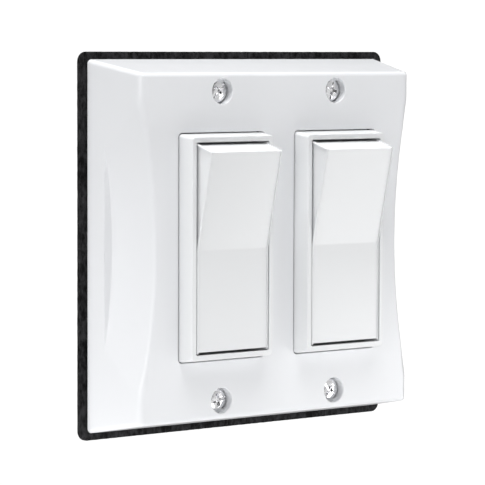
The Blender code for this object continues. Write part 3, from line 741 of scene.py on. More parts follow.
@dataclass(frozen=True)
class Fibre:
    """Pressed red fibre board."""

    name: str
    colour: tuple[float, float, float]
    shade: tuple[float, float, float]
    stretch: tuple[float, float, float] = (0.5, 1.0, 1.6)

    def make(self) -> bpy.types.Material:
        """The material."""
        graph = Graph(bpy.data.materials.new(self.name))
        strands = graph.noise(0.7, 5.0, graph.place(self.stretch), roughness=0.7)
        return graph.surface(
            {
                "Base Color": graph.blend(strands, self.colour, self.shade),
                "Roughness": 0.72 + strands * 0.2,
                "Normal": graph.bump(strands, 0.05),
            }
        )


FINISHES = {
    "cover_plastic": GlossPlastic("cover_plastic_white", (0.80, 0.81, 0.83), (0.785, 0.795, 0.815)),
    "rocker_plastic": GlossPlastic("rocker_plastic_white", (0.79, 0.80, 0.81), (0.78, 0.79, 0.80)),
    "gasket_foam": Foam("gasket_foam_black", (0.001, 0.001, 0.0012), (0.032, 0.032, 0.034)),
    "screw_chrome": Metal(
        "screw_bright_plating", (0.84, 0.84, 0.85), (0.74, 0.74, 0.76), 0.08, mark_depth=0.003, waviness=0.09
    ),
    "strap_steel": Metal(
        "strap_zinc_plating", (0.66, 0.67, 0.68), (0.50, 0.52, 0.54), 0.30, (1.0, 1.0, 0.08)
    ),
    "body_plastic": MattePlastic("body_plastic_dark", (0.060, 0.060, 0.066), (0.095, 0.095, 0.10), 0.46),
    "plunger_plastic": MattePlastic(
        "plunger_plastic_natural", (0.75, 0.73, 0.66), (0.70, 0.68, 0.60), 0.38, 0.01
    ),
    "spring_steel": Metal("spring_drawn_wire", (0.58, 0.58, 0.59), (0.42, 0.42, 0.43), 0.28),
    "terminal_brass": Metal(
        "terminal_stamped_brass", (0.80, 0.60, 0.27), (0.58, 0.41, 0.17), 0.26, (1.0, 0.1, 1.0)
    ),
    "contact_silver": Metal("contact_satin_silver", (0.88, 0.87, 0.85), (0.66, 0.64, 0.60), 0.30),
    "ground_green": Metal("ground_screw_green", (0.05, 0.33, 0.13), (0.02, 0.18, 0.07), 0.32),
    "washer_fibre": Fibre("washer_red_fibre", (0.42, 0.13, 0.08), (0.26, 0.07, 0.05)),
}


# ---------------------------------------------------------------- cover and gasket


@dataclass(frozen=True)
class Cover:
    """The deep cover: a shell with scooped sides, two windows, four screw bosses and a middle rib.

    The counterbore is its radius and the depth of its floor. The boss and its foot are each a radius
    and the depth where they end. The rows are the numbers of rings before, through and behind the
    scoop's step.
    """

    materials: Materials
    gangs: tuple[float, float]
    screw_rise: float
    window_half: tuple[float, float]
    box: NodeBox = field(default_factory=lambda: NodeBox.of("weatherproof_cover"))
    front_half: tuple[float, float] = (54.3, 54.1)
    corner: float = 1.5
    least_corner: float = 0.25
    wall: float = 2.3
    edge: float = 1.2
    side_edge: float = 2.0
    scoop_edge: float = 0.9
    scoop_radius: float = 196.0
    scoop_floor: float = 48.9
    scoop_lean: float = 0.421
    scoop_length: float = 14.5
    scoop_softness: float = 0.4
    scoop_fade: float = 2.5
    step_softness: float = 0.45
    rows: tuple[int, int, int] = (26, 15, 9)
    fillet: float = 0.9
    rim: float = 0.35
    window_corner: float = 1.5
    counterbore: tuple[float, float] = (4.0, -20.4)
    screw_hole: float = 2.05
    boss: tuple[float, float] = (5.0, -19.8)
    boss_foot: tuple[float, float] = (3.2, -18.3)
    rib_half: float = 0.75
    rib_back: float = -12.0
    rib_gap: float = 2.0

    @property
    def front(self) -> float:
        """The depth of the front face."""
        return float(self.box.low[1])

    @property
    def back(self) -> float:
        """The depth of the back rim."""
        return float(self.box.high[1])

    @property
    def slope(self) -> Array:
        """How far the half width and the half height grow with each unit of depth."""
        return (self.box.half[[0, 2]] - np.array(self.front_half)) / (self.back - self.front)

    @property
    def inner_front(self) -> float:
        """The depth of the front wall's inner face."""
        return self.front + self.wall

    def stations(self) -> Array:
        """The places round the cover's outline.

        Returns:
            Rows of side x and z, which choose the corner or the point between two corners, and of
            arc x and z, which choose the point of that corner's arc.
        """
        arc_steps, run_steps = 8, 110
        share = np.linspace(0, 1, run_steps + 1)[1:-1, None]
        rows = []
        for number, corner in enumerate(CORNERS):
            angle = QUARTER_TURN * (number + np.linspace(0, 1, arc_steps + 1))
            arc = np.stack([np.cos(angle), np.sin(angle)], axis=1)
            rows.append(np.hstack([np.broadcast_to(corner, arc.shape), arc]))
            run = corner * (1 - share) + CORNERS[(number + 1) % 4] * share
            rows.append(np.hstack([run, np.broadcast_to(arc[-1], run.shape)]))
        return np.vstack(rows)

    def scoop(self, depth: Array, height: Array) -> Array:
        """How far out the scoop's floor lies: its middle, which leans outwards, plus an arc's rise."""
        rise = self.scoop_radius - np.sqrt(self.scoop_radius**2 - height**2)
        return self.scoop_floor + self.scoop_lean * (depth - self.front) + rise

    def outline(self, depth: Array, inset: Array, wall: float) -> Array:
        """Rings of the cover's outer or inner side.

        The outline is a rounded rectangle that grows with depth. Its sides are the soft minimum of
        that rectangle and the scoop in front of the scoop's step, and the rectangle alone behind it.

        Args:
            depth: The depth of each point, rows by stations.
            inset: How far in each point lies, rows by stations.
            wall: The wall's thickness on the inner side, or 0 on the outer side.

        Returns:
            An array of rings, points and coordinates.
        """
        side = self.stations()
        growth = depth - self.front
        half_x = self.front_half[0] + self.slope[0] * growth - inset - wall
        half_z = self.front_half[1] + self.slope[1] * growth - inset - wall
        radius = np.maximum(self.corner - inset, self.least_corner)
        x = side[:, 0] * (half_x - radius) + side[:, 2] * radius
        z = side[:, 1] * (half_z - radius) + side[:, 3] * radius
        scooped = soft_minimum(np.abs(x), self.scoop(depth, z) - inset - wall, self.scoop_softness)
        step = self.front + self.scoop_length + wall
        behind = smooth_step(step, step + self.step_softness, depth)
        x = np.sign(x) * (scooped * (1 - behind) + np.abs(x) * behind)
        return np.stack([x, depth, z], axis=-1)

    def edge_radius(self) -> Array:
        """The front edge's radius at each station: larger along the sides and smaller along the scoops."""
        side = self.stations()
        floor = self.scoop(np.full(len(side), self.front), side[:, 1] * self.front_half[1])
        cut = self.front_half[0] - floor
        scooped = smooth_step(0.0, self.scoop_fade, cut) * np.isclose(np.abs(side[:, 2]), 1.0)
        radius = self.edge + (self.side_edge - self.edge) * side[:, 2] ** 2
        return radius - (radius - self.scoop_edge) * scooped

    def side_rings(self) -> Array:
        """Rings from the front wall's inner face, round the back rim, to the front face."""
        radius = self.edge_radius()[None, :]
        flat = np.zeros_like(radius)
        turn = np.linspace(0, QUARTER_TURN, 9)[:, None]
        rounded_in, rounded_out = 1 - np.cos(turn) + flat, 1 - np.sin(turn) + flat
        fillet, rim, wall = self.fillet, self.rim, self.wall
        step, rim_start = self.front + self.scoop_length, self.back - rim
        inner_depth = self.levels(self.inner_front + fillet, step + wall, rim_start)[:, None] + flat
        outer_depth = self.levels(self.front, step, rim_start)[::-1, None]
        share = np.clip((outer_depth - self.front) / (step - self.front), 0, 1)
        eased = self.front + radius + share * (step - self.front - radius)
        outer_depth = np.where(share < 1, eased, outer_depth)
        return np.concatenate(
            [
                self.outline(self.inner_front + fillet * rounded_in, fillet * rounded_out, wall),
                self.outline(inner_depth, 0 * inner_depth, wall),
                self.outline(self.back - rim * rounded_out, -rim * rounded_in, wall),
                self.outline(self.back - rim * rounded_in, rim * rounded_out, 0.0),
                self.outline(outer_depth, 0 * outer_depth, 0.0),
                self.outline(self.front + radius * rounded_out, radius * rounded_in, 0.0),
            ]
        )

    def levels(self, start: float, step: float, end: float) -> Array:
        """Depths from start to end, close together through the scoop's step."""
        before, through, behind = self.rows
        step_end = step + self.step_softness
        return np.concatenate(
            [
                np.linspace(start, step, before),
                np.linspace(step, step_end, through)[1:],
                np.linspace(step_end, end, behind)[1:],
            ]
        )

    def window_rings(self, gang: float) -> Array:
        """Rings through one window, with soft lips, from the front face to the inner face."""
        half_x, half_z = self.window_half
        lip = 1.0
        wide = (half_x + lip, half_z + lip, self.window_corner + lip)
        narrow = (half_x, half_z, self.window_corner)
        corners = [
            (*wide, self.front),
            (*narrow, self.front),
            (*narrow, self.inner_front),
            (*wide, self.inner_front),
        ]
        soft = (0, 0.55, 0.3, 0)
        return rectangle_rings(softened_run(corners, soft, 7, ends=0), (gang, 0.0), 8)

    def boss_rings(self, gang: float, rise: float) -> Array:
        """Rings through one counterbore and its hole, and back over the boss to the inner face."""
        bore, floor = self.counterbore
        boss, step = self.boss
        foot, end = self.boss_foot
        lead = 1.0
        corners = [
            (bore + lead, self.front),
            (bore, self.front),
            (bore, floor),
            (self.screw_hole, floor),
            (self.screw_hole, end),
            (foot, end),
            (foot, step),
            (boss, step),
            (boss, self.inner_front),
            (boss + lead, self.inner_front),
        ]
        soft = (0, 0.35, 0.25, 0.12, 0.15, 0.2, 0.15, 0.25, 0.4, 0)
        rings = turned_rings(softened_run(corners, soft, ends=0), 72)
        return placed(rings, (gang, 0.0, rise))

    def rib_rings(self) -> Array:
        """Rings of the rib between the windows, which stops short of the side walls."""
        height = self.front_half[1] + self.slope[1] * self.wall - self.wall - self.rib_gap
        foot, end, corner, end_corner = 0.5, 0.45, self.rib_half - 0.05, 0.2
        section = (self.rib_half, height, corner)
        corners = [
            (self.rib_half + foot, height + foot, self.rib_half, self.inner_front),
            (*section, self.inner_front),
            (*section, self.rib_back),
            (self.rib_half - end, height - end, end_corner, self.rib_back),
        ]
        return rectangle_rings(softened_run(corners, (0, 0.4, 0.3, 0)), steps=5)

    def build(self) -> None:
        """Builds the cover."""
        surface = Surface()
        sides = self.side_rings()
        surface.grid(sides)
        front_holes, inner_holes = [], []
        for gang in self.gangs:
            bosses = [self.boss_rings(gang, rise) for rise in (self.screw_rise, -self.screw_rise)]
            for rings in (self.window_rings(gang), *bosses):
                surface.grid(rings)
                front_holes.append(rings[0])
                inner_holes.append(rings[-1])
        rib = self.rib_rings()
        surface.grid(rib).fill(rib[-1])
        surface.fill(sides[-1], *front_holes)
        surface.fill(sides[0], *inner_holes, rib[0])
        piece = surface.write("cover_shell")
        belong(piece, "base", "cover_plastic", self.materials, "weatherproof_cover")


@dataclass(frozen=True)
class Gasket:
    """The foam ring behind the cover, with a slightly ragged cut edge."""

    materials: Materials
    box: NodeBox = field(default_factory=lambda: NodeBox.of("foam_gasket"))
    opening_half: float = 50.0
    corner: float = 3.0
    soft: float = 0.35
    ragged: float = 0.10
    spacing: float = 0.8

    def rings(self) -> Array:
        """The ring's section carried round its rounded-rectangle outline, with uneven faces.

        A section's corner lies at (half width, half height) and the sides between two corners are
        filled with evenly spaced points. Each point moves inwards, towards the section's middle, by
        the ragged depth times the ripple there.
        """
        half_x, half_z = self.box.half[0], self.box.half[2]
        front, back = self.box.low[1], self.box.high[1]
        inner = self.opening_half
        corners = [
            (half_x, half_z, self.corner, front),
            (half_x, half_z, self.corner, back),
            (inner, inner, self.corner, back),
            (inner, inner, self.corner, front),
        ]
        section = softened(corners, [self.soft] * len(corners), 4)
        section = self.spread(np.vstack([section, section[:1]]))[:-1]
        outline = rectangle_rings(section, steps=8)
        points = self.spread(np.concatenate([outline, outline[:, :1]], axis=1).transpose(1, 0, 2))
        points = points[:-1].transpose(1, 0, 2)
        middle = points.mean(axis=0, keepdims=True)
        inward = middle - points
        inward /= np.maximum(np.linalg.norm(inward, axis=-1, keepdims=True), TINY_LENGTH)
        coarse, fine = ripple(points, 2.6, seed=11), ripple(points, 1.1, seed=5)
        uneven = 0.5 + 0.5 * np.clip(coarse * 0.6 + fine * 0.5, -1, 1)
        return points + inward * (self.ragged * uneven)[..., None]

    def spread(self, path: Array) -> Array:
        """Adds evenly spaced rows where a path's rows are further apart than the spacing.

        Args:
            path: Rows of a path, of any shape; the first point of a row measures its length.

        Returns:
            The path with the rows added.
        """
        flat = path.reshape(len(path), -1)
        gap = np.linalg.norm(np.diff(flat[:, : path.shape[-1]], axis=0), axis=1)
        count = np.maximum(np.ceil(gap / self.spacing).astype(int), 1)
        start = np.repeat(np.arange(len(count)), count)
        first = np.repeat(np.cumsum(count) - count, count)
        share = (np.arange(count.sum()) - first) / np.repeat(count, count)
        rows = flat[start] * (1 - share[:, None]) + flat[start + 1] * share[:, None]
        return np.vstack([rows, flat[-1:]]).reshape(-1, *path.shape[1:])

    def build(self) -> None:
        """Builds the gasket."""
        piece = Surface().grid(self.rings(), closed_rows=True).write("gasket_ring")
        belong(piece, "base", "gasket_foam", self.materials, "foam_gasket")


# ---------------------------------------------------------------- screws


class Recess(Enum):
    """The driver recess in a screw's head."""

    COMBINED = "combined"
    SLOT = "slot"


@dataclass(frozen=True)
class Screw:
    """A screw: a crowned head with a driver recess, a threaded shank and a blunt point."""

    name: str
    node: str
    slot: str
    head_radius: float
    head_height: float
    crown: float
    shank_radius: float
    length: float
    at: tuple[float, float, float]
    facing: Facing = Facing.BACK
    recess: Recess = Recess.COMBINED
    recess_depth: float = 1.05
    turn: float = 0.0
    columns: int = 96
    flank: float = 0.42

    @classmethod
    def fitted(cls, node: str, facing: Facing = Facing.BACK, **sizes: Any) -> Screw:
        """A screw whose head radius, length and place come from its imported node.

        Args:
            node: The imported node.
            facing: Where the screw points.
            **sizes: The screw's other fields.

        Returns:
            The screw.
        """
        box = NodeBox.of(node)
        axis = 1 if facing is Facing.BACK else 0
        at = box.middle
        at[axis] = box.high[axis] if facing is Facing.LEFT else box.low[axis]
        radius, length = float(box.half[2]), float(box.high[axis] - box.low[axis])
        return cls(node=node, facing=facing, head_radius=radius, length=length, at=tuple(at), **sizes)

    def recess_cutters(self) -> list[bpy.types.Object]:
        """The recess as solids to cut away: one slot, or a shallow slot and a deeper tapered cross.

        Returns:
            Closed objects, turned and placed like the screw.
        """
        deep, reach = self.recess_depth, self.head_radius
        if self.recess is Recess.SLOT:
            open_top, open_floor = (reach * 1.5, 0.6), (reach * 1.5, 0.55)
            return [self.cutter(open_top, open_floor, deep)]
        slot_top, slot_floor = (reach * 0.88, 0.46), (reach * 0.84, 0.42)
        cross_top, cross_floor = (reach * 0.66, 0.58), (reach * 0.30, 0.36)
        return [
            self.cutter(slot_top, slot_floor, deep * 0.55),
            self.cutter(cross_top, cross_floor, deep),
            self.cutter(cross_top[::-1], cross_floor[::-1], deep),
        ]

    def cutter(self, top: tuple[float, float], floor: tuple[float, float], depth: float) -> bpy.types.Object:
        """A tapered slab that starts above the head.

        Args:
            top: Half the length and width where the slab meets the head's top.
            floor: Half the length and width of its floor.
            depth: How deep the floor is.

        Returns:
            The closed object.
        """
        corner = 0.1
        start = [high + (high - low) * PAST / depth for high, low in zip(top, floor)]
        sections = [(*start, corner, -PAST), (*top, corner, 0.0), (*floor, corner, depth)]
        rings = rectangle_rings(sections, steps=3)
        across = rings[..., 0] * math.cos(self.turn) - rings[..., 2] * math.sin(self.turn)
        upward = rings[..., 0] * math.sin(self.turn) + rings[..., 2] * math.cos(self.turn)
        turned = placed(np.stack([across, rings[..., 1], upward], axis=-1), self.at, self.facing)
        return Surface().grid(turned).caps(turned).write("recess", Shading.CREASED)

    def head_rings(self) -> Array:
        """The head: a dome that lies crown (r / radius)^2 deep, its rounded edge and its underside."""
        rim, drop = 0.5, 0.18
        radius = np.linspace(0, self.head_radius - rim, 12)
        dome = np.column_stack([radius, self.crown * (radius / self.head_radius) ** 2])
        corners = [
            dome[-1],
            (self.head_radius, self.crown + drop),
            (self.head_radius, self.head_height),
            (self.shank_radius, self.head_height),
        ]
        side = softened_run(corners, (0, 0.4, 0.12, 0), 6)
        return turned_rings(np.vstack([dome, side]), self.columns, self.turn)

    def shank_rings(self) -> Array:
        """The threaded shank: its radius is the root plus a thread's flank, by turns along the axis.

        The thread grows just behind the head and dies away before the blunt point.
        """
        start, end = self.head_height, self.length - 0.5 * self.shank_radius
        rows_per_turn, least_rows = 9, 8
        rows = max(int((end - start) / SCREW_PITCH * rows_per_turn), least_rows)
        depth = np.linspace(start, end, rows)[:, None]
        share = np.arange(self.columns)[None, :] / self.columns
        turns = np.mod(depth / SCREW_PITCH - share, 1.0)
        thread = 1 - np.abs(2 * turns - 1)
        fade = smooth_step(start + 0.3, start + 1.1, depth) * smooth_step(end + 0.1, end - 0.9, depth)
        root = self.shank_radius - self.flank * fade
        radius = root + self.flank * fade * smooth_step(0.1, 0.9, thread)
        angle = self.turn + FULL_TURN * share
        body = np.stack([radius * np.cos(angle), depth + 0 * angle, radius * np.sin(angle)], axis=-1)
        point = [(self.shank_radius * 0.55, self.length), (0.0, self.length)]
        return np.concatenate([body, turned_rings(point, self.columns, self.turn)])

    def build(self, body: str, materials: Materials) -> None:
        """Builds the screw on a body."""
        rings = np.concatenate([self.head_rings(), self.shank_rings()])
        piece = Surface().grid(placed(rings, self.at, self.facing)).write(self.name, Shading.CREASED)
        carve(piece, "DIFFERENCE", *self.recess_cutters())
        finish_edges(piece, 0.07)
        belong(piece, body, self.slot, materials, self.node)


# ---------------------------------------------------------------- one switch


@dataclass(frozen=True)
class Switch:
    """One rocker switch: its frame, paddle, strap, body and screws."""

    side: str
    materials: Materials
    frame_half: tuple[float, float] = (16.75, 35.4)
    frame_edge: float = 0.45
    frame_corner: float = 1.2
    frame_draft: float = 0.78
    opening_half: tuple[float, float] = (14.38, 32.9)
    hollow_half: tuple[float, float] = (14.38, 33.4)
    lip: float = 1.2
    shelf_half: tuple[float, float] = (7.5, 12.0)
    shelf_thickness: float = 1.5
    flange_thickness: float = 1.8
    rock_angle: float = math.radians(13.0)
    pivot_depth: float = 6.0
    paddle_half_width: float = 14.03
    paddle_end_rise: float = 32.5
    paddle_skirt: float = 9.0
    paddle_wall: float = 1.8
    paddle_side_wall: float = 1.6
    paddle_edge: float = 0.47
    end_bulge: float = 0.45
    bulge_depth: float = 8.0
    crease_soft: float = 0.4
    pin_radius: float = 1.3
    pin_end: float = 15.7
    rivet_at: tuple[float, float] = (13.0, 37.6)
    rivet_hole: float = 1.5
    box_screw_rise: float = 41.65
    cover_screw_rise: float = 48.42
    screw_radius: float = 1.75

    @property
    def frame_box(self) -> NodeBox:
        """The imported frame's box."""
        return NodeBox.of(f"{self.side}_frame")

    @property
    def strap_box(self) -> NodeBox:
        """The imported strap's box."""
        return NodeBox.of(f"{self.side}_mounting_strap")

    @property
    def body_box(self) -> NodeBox:
        """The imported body's box."""
        return NodeBox.of(f"{self.side}_switch_body")

    @property
    def gang(self) -> float:
        """How far to the right the switch's middle is."""
        return float(self.frame_box.middle[0])

    @property
    def pivot(self) -> float:
        """The depth of the paddle's pins."""
        return float(self.frame_box.low[1]) + self.pivot_depth

    def corner_places(self) -> list[tuple[float, float]]:
        """Where the two rivets are."""
        x, z = self.rivet_at
        return [(self.gang + x, z), (self.gang - x, -z)]

    def build_frame(self, cover_front: float) -> None:
        """The frame: one closed section carried round the collar, with its notches and holes.

        The section goes from the flange's back over the flange, up the drafted collar, over the soft
        front edge, down the opening to the shelf and through the shelf's window.

        Args:
            cover_front: The depth of the cover's front face.
        """
        front, back = self.frame_box.low[1], self.frame_box.high[1]
        flange_corner, opening_corner, shelf_corner, lip_slope = 2.0, 0.6, 1.5, 0.5
        flange = (*self.frame_box.half[[0, 2]], flange_corner)
        collar = (*self.frame_half, self.frame_corner)
        drafted = tuple(size - self.frame_draft for size in self.frame_half)
        opening = (*self.opening_half, opening_corner)
        hollow = (*self.hollow_half, opening_corner)
        shelf = (*self.shelf_half, shelf_corner)
        flange_front = back - self.flange_thickness
        shelf_front = back - self.shelf_thickness
        corners = [
            (*flange, back),
            (*flange, flange_front),
            (*collar, flange_front),
            (*collar, cover_front),
            (*drafted, self.frame_corner, front),
            (*opening, front),
            (*opening, front + self.lip),
            (*hollow, front + self.lip + lip_slope),
            (*hollow, shelf_front),
            (*shelf, shelf_front),
            (*shelf, back),
        ]
        soft = (0.3, 0.3, 0.3, 0.5, self.frame_edge, 0.22, 0.2, 0.2, 0.3, 0.25, 0.25)
        rings = rectangle_rings(softened(corners, soft, 6), (self.gang, 0.0), 7)
        piece = Surface().grid(rings, closed_rows=True).write(f"{self.side}_frame_moulding", Shading.CREASED)
        notch_half, notch_deep = 5.0, 2.0
        rivet_head, rivet_head_deep = 2.0, 1.0
        pin_hole = self.pin_radius + CLEARANCE
        tools = []
        for way in (-1, 1):
            places = (self.paddle_half_width - PAST, self.pin_end + CLEARANCE)
            start, end = sorted(self.gang + way * place for place in places)
            hole = at_depths((pin_hole,), 0.0, end - start)
            tools.append(rod("pin_hole", hole, (start, self.pivot, 0.0), Facing.RIGHT))
            low, high = sorted(way * rise for rise in (flange[1] - notch_deep, flange[1] + PAST))
            corner = (self.gang - notch_half, flange_front - PAST, low)
            tools.append(block("notch", corner, (self.gang + notch_half, back + PAST, high)))
        step = flange_front + rivet_head_deep
        rivet = [
            *at_depths((rivet_head,), flange_front - PAST, step),
            *at_depths((self.rivet_hole,), step, back + PAST),
        ]
        for x, z in self.corner_places():
            tools.append(rod("rivet_hole", rivet, (x, 0.0, z)))
        carve(piece, "DIFFERENCE", *tools)
        finish_edges(piece)
        belong(piece, "base", "rocker_plastic", self.materials, f"{self.side}_frame")

    def paddle_outline(
        self, inset: float, depth: float, thickness: float, end_inset: float, soft: float
    ) -> Array:
        """The outline of a band that follows both halves of the paddle, seen from its pins.

        A point of a half lies along it by a and under its face by t at y = crease - a sin + t cos
        and z = a cos + t sin of the half's tilt; the other half is its mirror image. The end faces
        bulge outwards by end_bulge (t / bulge_depth)^2.

        Args:
            inset: How far the outline shrinks all round.
            depth: How deep under the face the band starts.
            thickness: How thick the band is.
            end_inset: How far the band stops short of the paddle's ends.
            soft: The soft distance of the outline's four end corners.

        Returns:
            Rows of y and z.
        """
        tilt = self.rock_angle / 2
        length = self.paddle_end_rise - self.pivot_depth * math.tan(tilt) - end_inset - inset
        crease = -self.pivot_depth / math.cos(tilt)
        near, far = depth + inset, depth + thickness - inset
        middle = [crease + under / math.cos(tilt) for under in (near, far)]
        under = np.linspace(near, far, 7)
        along = length + self.end_bulge * np.minimum(under / self.bulge_depth, 1.0) ** 2
        y = crease - along * math.sin(tilt) + under * math.cos(tilt)
        z = along * math.cos(tilt) + under * math.sin(tilt)
        end = np.column_stack([y, z])
        corners = [(middle[0], 0.0), *end, (middle[1], 0.0), *(end * (1, -1))[::-1]]
        between = 0.2
        end_soft = (soft, *[between] * (len(end) - 2), soft)
        return softened(corners, (self.crease_soft, *end_soft, 0.0, *end_soft), 6)

    def paddle_solid(
        self, name: str, depth: float, end_inset: float, half_width: float, edge: float
    ) -> bpy.types.Object:
        """A band of the paddle with round edges, carried across its width and tilted to its rest.

        The ring at the angle u of the rounding is inset by edge (1 - cos u) and lies edge (1 - sin u)
        in from the end.

        Args:
            name: The object's name.
            depth: How deep under the face the band starts.
            end_inset: How far the band stops short of the paddle's ends.
            half_width: Half the band's width.
            edge: The radius of its edges, or 0 for sharp ones.

        Returns:
            The closed object.
        """
        angle = np.linspace(0, QUARTER_TURN, 7 if edge else 1)
        rings = []
        for way in (-1, 1):
            for turn in angle[::-way]:
                inset = edge * (1 - math.cos(turn))
                across = way * (half_width - edge * (1 - math.sin(turn)))
                soft = max(edge - inset, 0.0)
                flat = self.paddle_outline(inset, depth, self.paddle_skirt, end_inset, soft)
                rings.append(np.column_stack([np.full(len(flat), across), flat]))
        points = self.tilted(np.stack(rings))
        return Surface().grid(points).caps(points).write(name, Shading.CREASED)

    def tilted(self, points: Array) -> Array:
        """Turns points about the pins by the paddle's rest angle and moves them to the pins."""
        tilt = self.rock_angle / 2
        y, z = points[..., 1], points[..., 2]
        turned_y = y * math.cos(tilt) - z * math.sin(tilt)
        turned_z = y * math.sin(tilt) + z * math.cos(tilt)
        return np.stack([points[..., 0] + self.gang, turned_y + self.pivot, turned_z], axis=-1)

    def paddle_rod(self, name: str, profile: Iterable[Iterable[float]]) -> bpy.types.Object:
        """A turned shape on the paddle's plunger axis, for carving."""
        rings = self.tilted(turned_rings(profile, ROD_STEPS))
        return Surface().grid(rings).caps(rings).write(name, Shading.CREASED)

    def build_paddle(self) -> None:
        """The paddle: a hollow rocker with a rib, a bored boss and two pins.

        The rib, the boss and its bore are made round the pins, where depth 0 is the pins' own.
        """
        name = f"{self.side}_rocker_paddle"
        piece = self.paddle_solid(name, 0.0, 0.0, self.paddle_half_width, self.paddle_edge)
        inner = self.paddle_half_width - self.paddle_side_wall
        wall = self.paddle_wall
        carve(piece, "DIFFERENCE", self.paddle_solid("hollow", wall, wall, inner, 0.0))
        ceiling = wall - self.pivot_depth
        rib_half, rib_rise, rib_deep = 0.6, 29.0, 3.4
        boss_radius, boss_end, bore_radius, bore_start = 3.7, 6.0, 2.1, -3.6
        rib_sunk, boss_sunk, pin_sunk, chamfer = 0.4, 0.6, 0.4, 0.3
        rib_low = (-rib_half, ceiling - rib_sunk, -rib_rise)
        rib = block("rib", rib_low, (rib_half, ceiling + rib_deep, rib_rise))
        self.tilt_object(rib)
        boss = [
            *at_depths((boss_radius,), ceiling - boss_sunk, boss_end - chamfer),
            (boss_radius - chamfer, boss_end),
        ]
        root = inner + pin_sunk
        length = self.pin_end - root
        pin = [*at_depths((self.pin_radius,), 0.0, length - chamfer), (self.pin_radius - chamfer, length)]
        pins = [
            rod("pin", pin, (self.gang + way * root, self.pivot, 0.0), facing)
            for way, facing in ((-1, Facing.LEFT), (1, Facing.RIGHT))
        ]
        carve(piece, "UNION", rib, self.paddle_rod("boss", boss), *pins)
        bore = [
            *at_depths((bore_radius,), bore_start, boss_end - chamfer),
            *at_depths((bore_radius + chamfer,), boss_end, boss_end + PAST),
        ]
        carve(piece, "DIFFERENCE", self.paddle_rod("bore", bore))
        finish_edges(piece)
        belong(piece, f"{self.side}_rocker", "rocker_plastic", self.materials, f"{self.side}_paddle")

    def tilt_object(self, tool: bpy.types.Object) -> None:
        """Tilts a carving tool made round the pins and moves it to them."""
        count = len(tool.data.vertices)
        points = np.empty(count * 3)
        tool.data.vertices.foreach_get("co", points)
        points = self.tilted(points.reshape(-1, 3) / MM) * MM
        tool.data.vertices.foreach_set("co", points.ravel())
        tool.data.update()

    def build_strap(self) -> None:
        """The strap: a plate whose middle is wider than its ends, with its holes and ground tab.

        Plates and windows are half width, half height and corner radius.
        """
        thickness = 1.2
        front, back = self.strap_box.low[1], self.strap_box.low[1] + thickness
        through = (front - PAST, back + PAST)
        end, middle = (11.0, float(self.strap_box.half[2]), 4.0), (18.0, 40.5, 2.0)
        window, slot = (9.5, 15.0, 2.0), (3.0, 2.2, 2.1)
        tab_low, tab_high, tab_foot = -47.4, -40.6, 0.4
        tab_side = self.gang - end[0]
        tab_hole_at, tab_hole_deep = (self.gang - 12.5, -12.3, -44.2), 4.0
        screw_hole = self.screw_radius + CLEARANCE
        centre = (self.gang, 0.0)
        piece = slab(f"{self.side}_strap_plate", at_depths(end, front, back), centre)
        tab = block(
            "tab",
            (tab_side, front + tab_foot, tab_low),
            (tab_side + thickness, self.strap_box.high[1], tab_high),
        )
        carve(piece, "UNION", slab("middle", at_depths(middle, front, back), centre), tab)
        tools = [slab("window", at_depths(window, *through), centre)]
        for way in (-1, 1):
            at = (self.gang, 0.0, way * self.cover_screw_rise)
            tools.append(rod("cover_hole", at_depths((screw_hole,), *through), at))
            slot_centre = (self.gang, way * self.box_screw_rise)
            tools.append(slab("slot", at_depths(slot, *through), slot_centre))
        for x, z in self.corner_places():
            tools.append(rod("rivet_hole", at_depths((self.rivet_hole,), *through), (x, 0.0, z)))
        tab_hole = at_depths((screw_hole,), 0.0, tab_hole_deep)
        tools.append(rod("tab_hole", tab_hole, tab_hole_at, Facing.RIGHT))
        carve(piece, "DIFFERENCE", *tools)
        finish_edges(piece, 0.14)
        belong(piece, "base", "strap_steel", self.materials, f"{self.side}_mounting_strap")

    def build_body(self) -> None:
        """The moulded body: one closed section carried round, with wire holes and terminal slots.

        Each part of the section is half width, half height and corner radius.
        """
        front, back = self.body_box.low[1], self.body_box.high[1]
        flange = (*self.body_box.half[[0, 2]], 2.0)
        middle, cavity = (2.0, 2.0, 1.0), (14.0, 31.0, 1.0)
        case, case_end = (16.0, 33.5, 2.0), (15.0, 32.5, 2.0)
        panel, panel_floor = (11.0, 27.0, 1.5), (10.6, 26.6, 1.3)
        flange_back, case_back = front + 1.6, back - 1.0
        floor, panel_back = back - 2.5, back - 0.5
        corners = [
            (*middle, floor),
            *at_depths(cavity, floor, front),
            *at_depths(flange, front, flange_back),
            *at_depths(case, flange_back, case_back),
            (*case_end, back),
            (*panel, back),
            (*panel_floor, panel_back),
            (*middle, panel_back),
        ]
        soft = (0, 0.4, 0.3, 0.3, 0.3, 0.5, 0.4, 0.4, 0.15, 0.15, 0)
        rings = rectangle_rings(softened_run(corners, soft), (self.gang, 0.0))
        piece = Surface().grid(rings).caps(rings).write(f"{self.side}_body_moulding", Shading.CREASED)
        pillar_front, pillar_width, pillar_low, pillar_high = -5.6, 2.5, 11.0, 14.5
        pillars = [
            block(
                "pillar",
                (self.gang + start, pillar_front, pillar_low),
                (self.gang + start + pillar_width, floor + PAST, pillar_high),
            )
            for start in (4.5, -7.0)
        ]
        carve(piece, "UNION", *pillars)
        carve(piece, "DIFFERENCE", *self.body_cutters(front, back, floor, flange_back))
        finish_edges(piece)
        belong(piece, "base", "body_plastic", self.materials, f"{self.side}_switch_body")

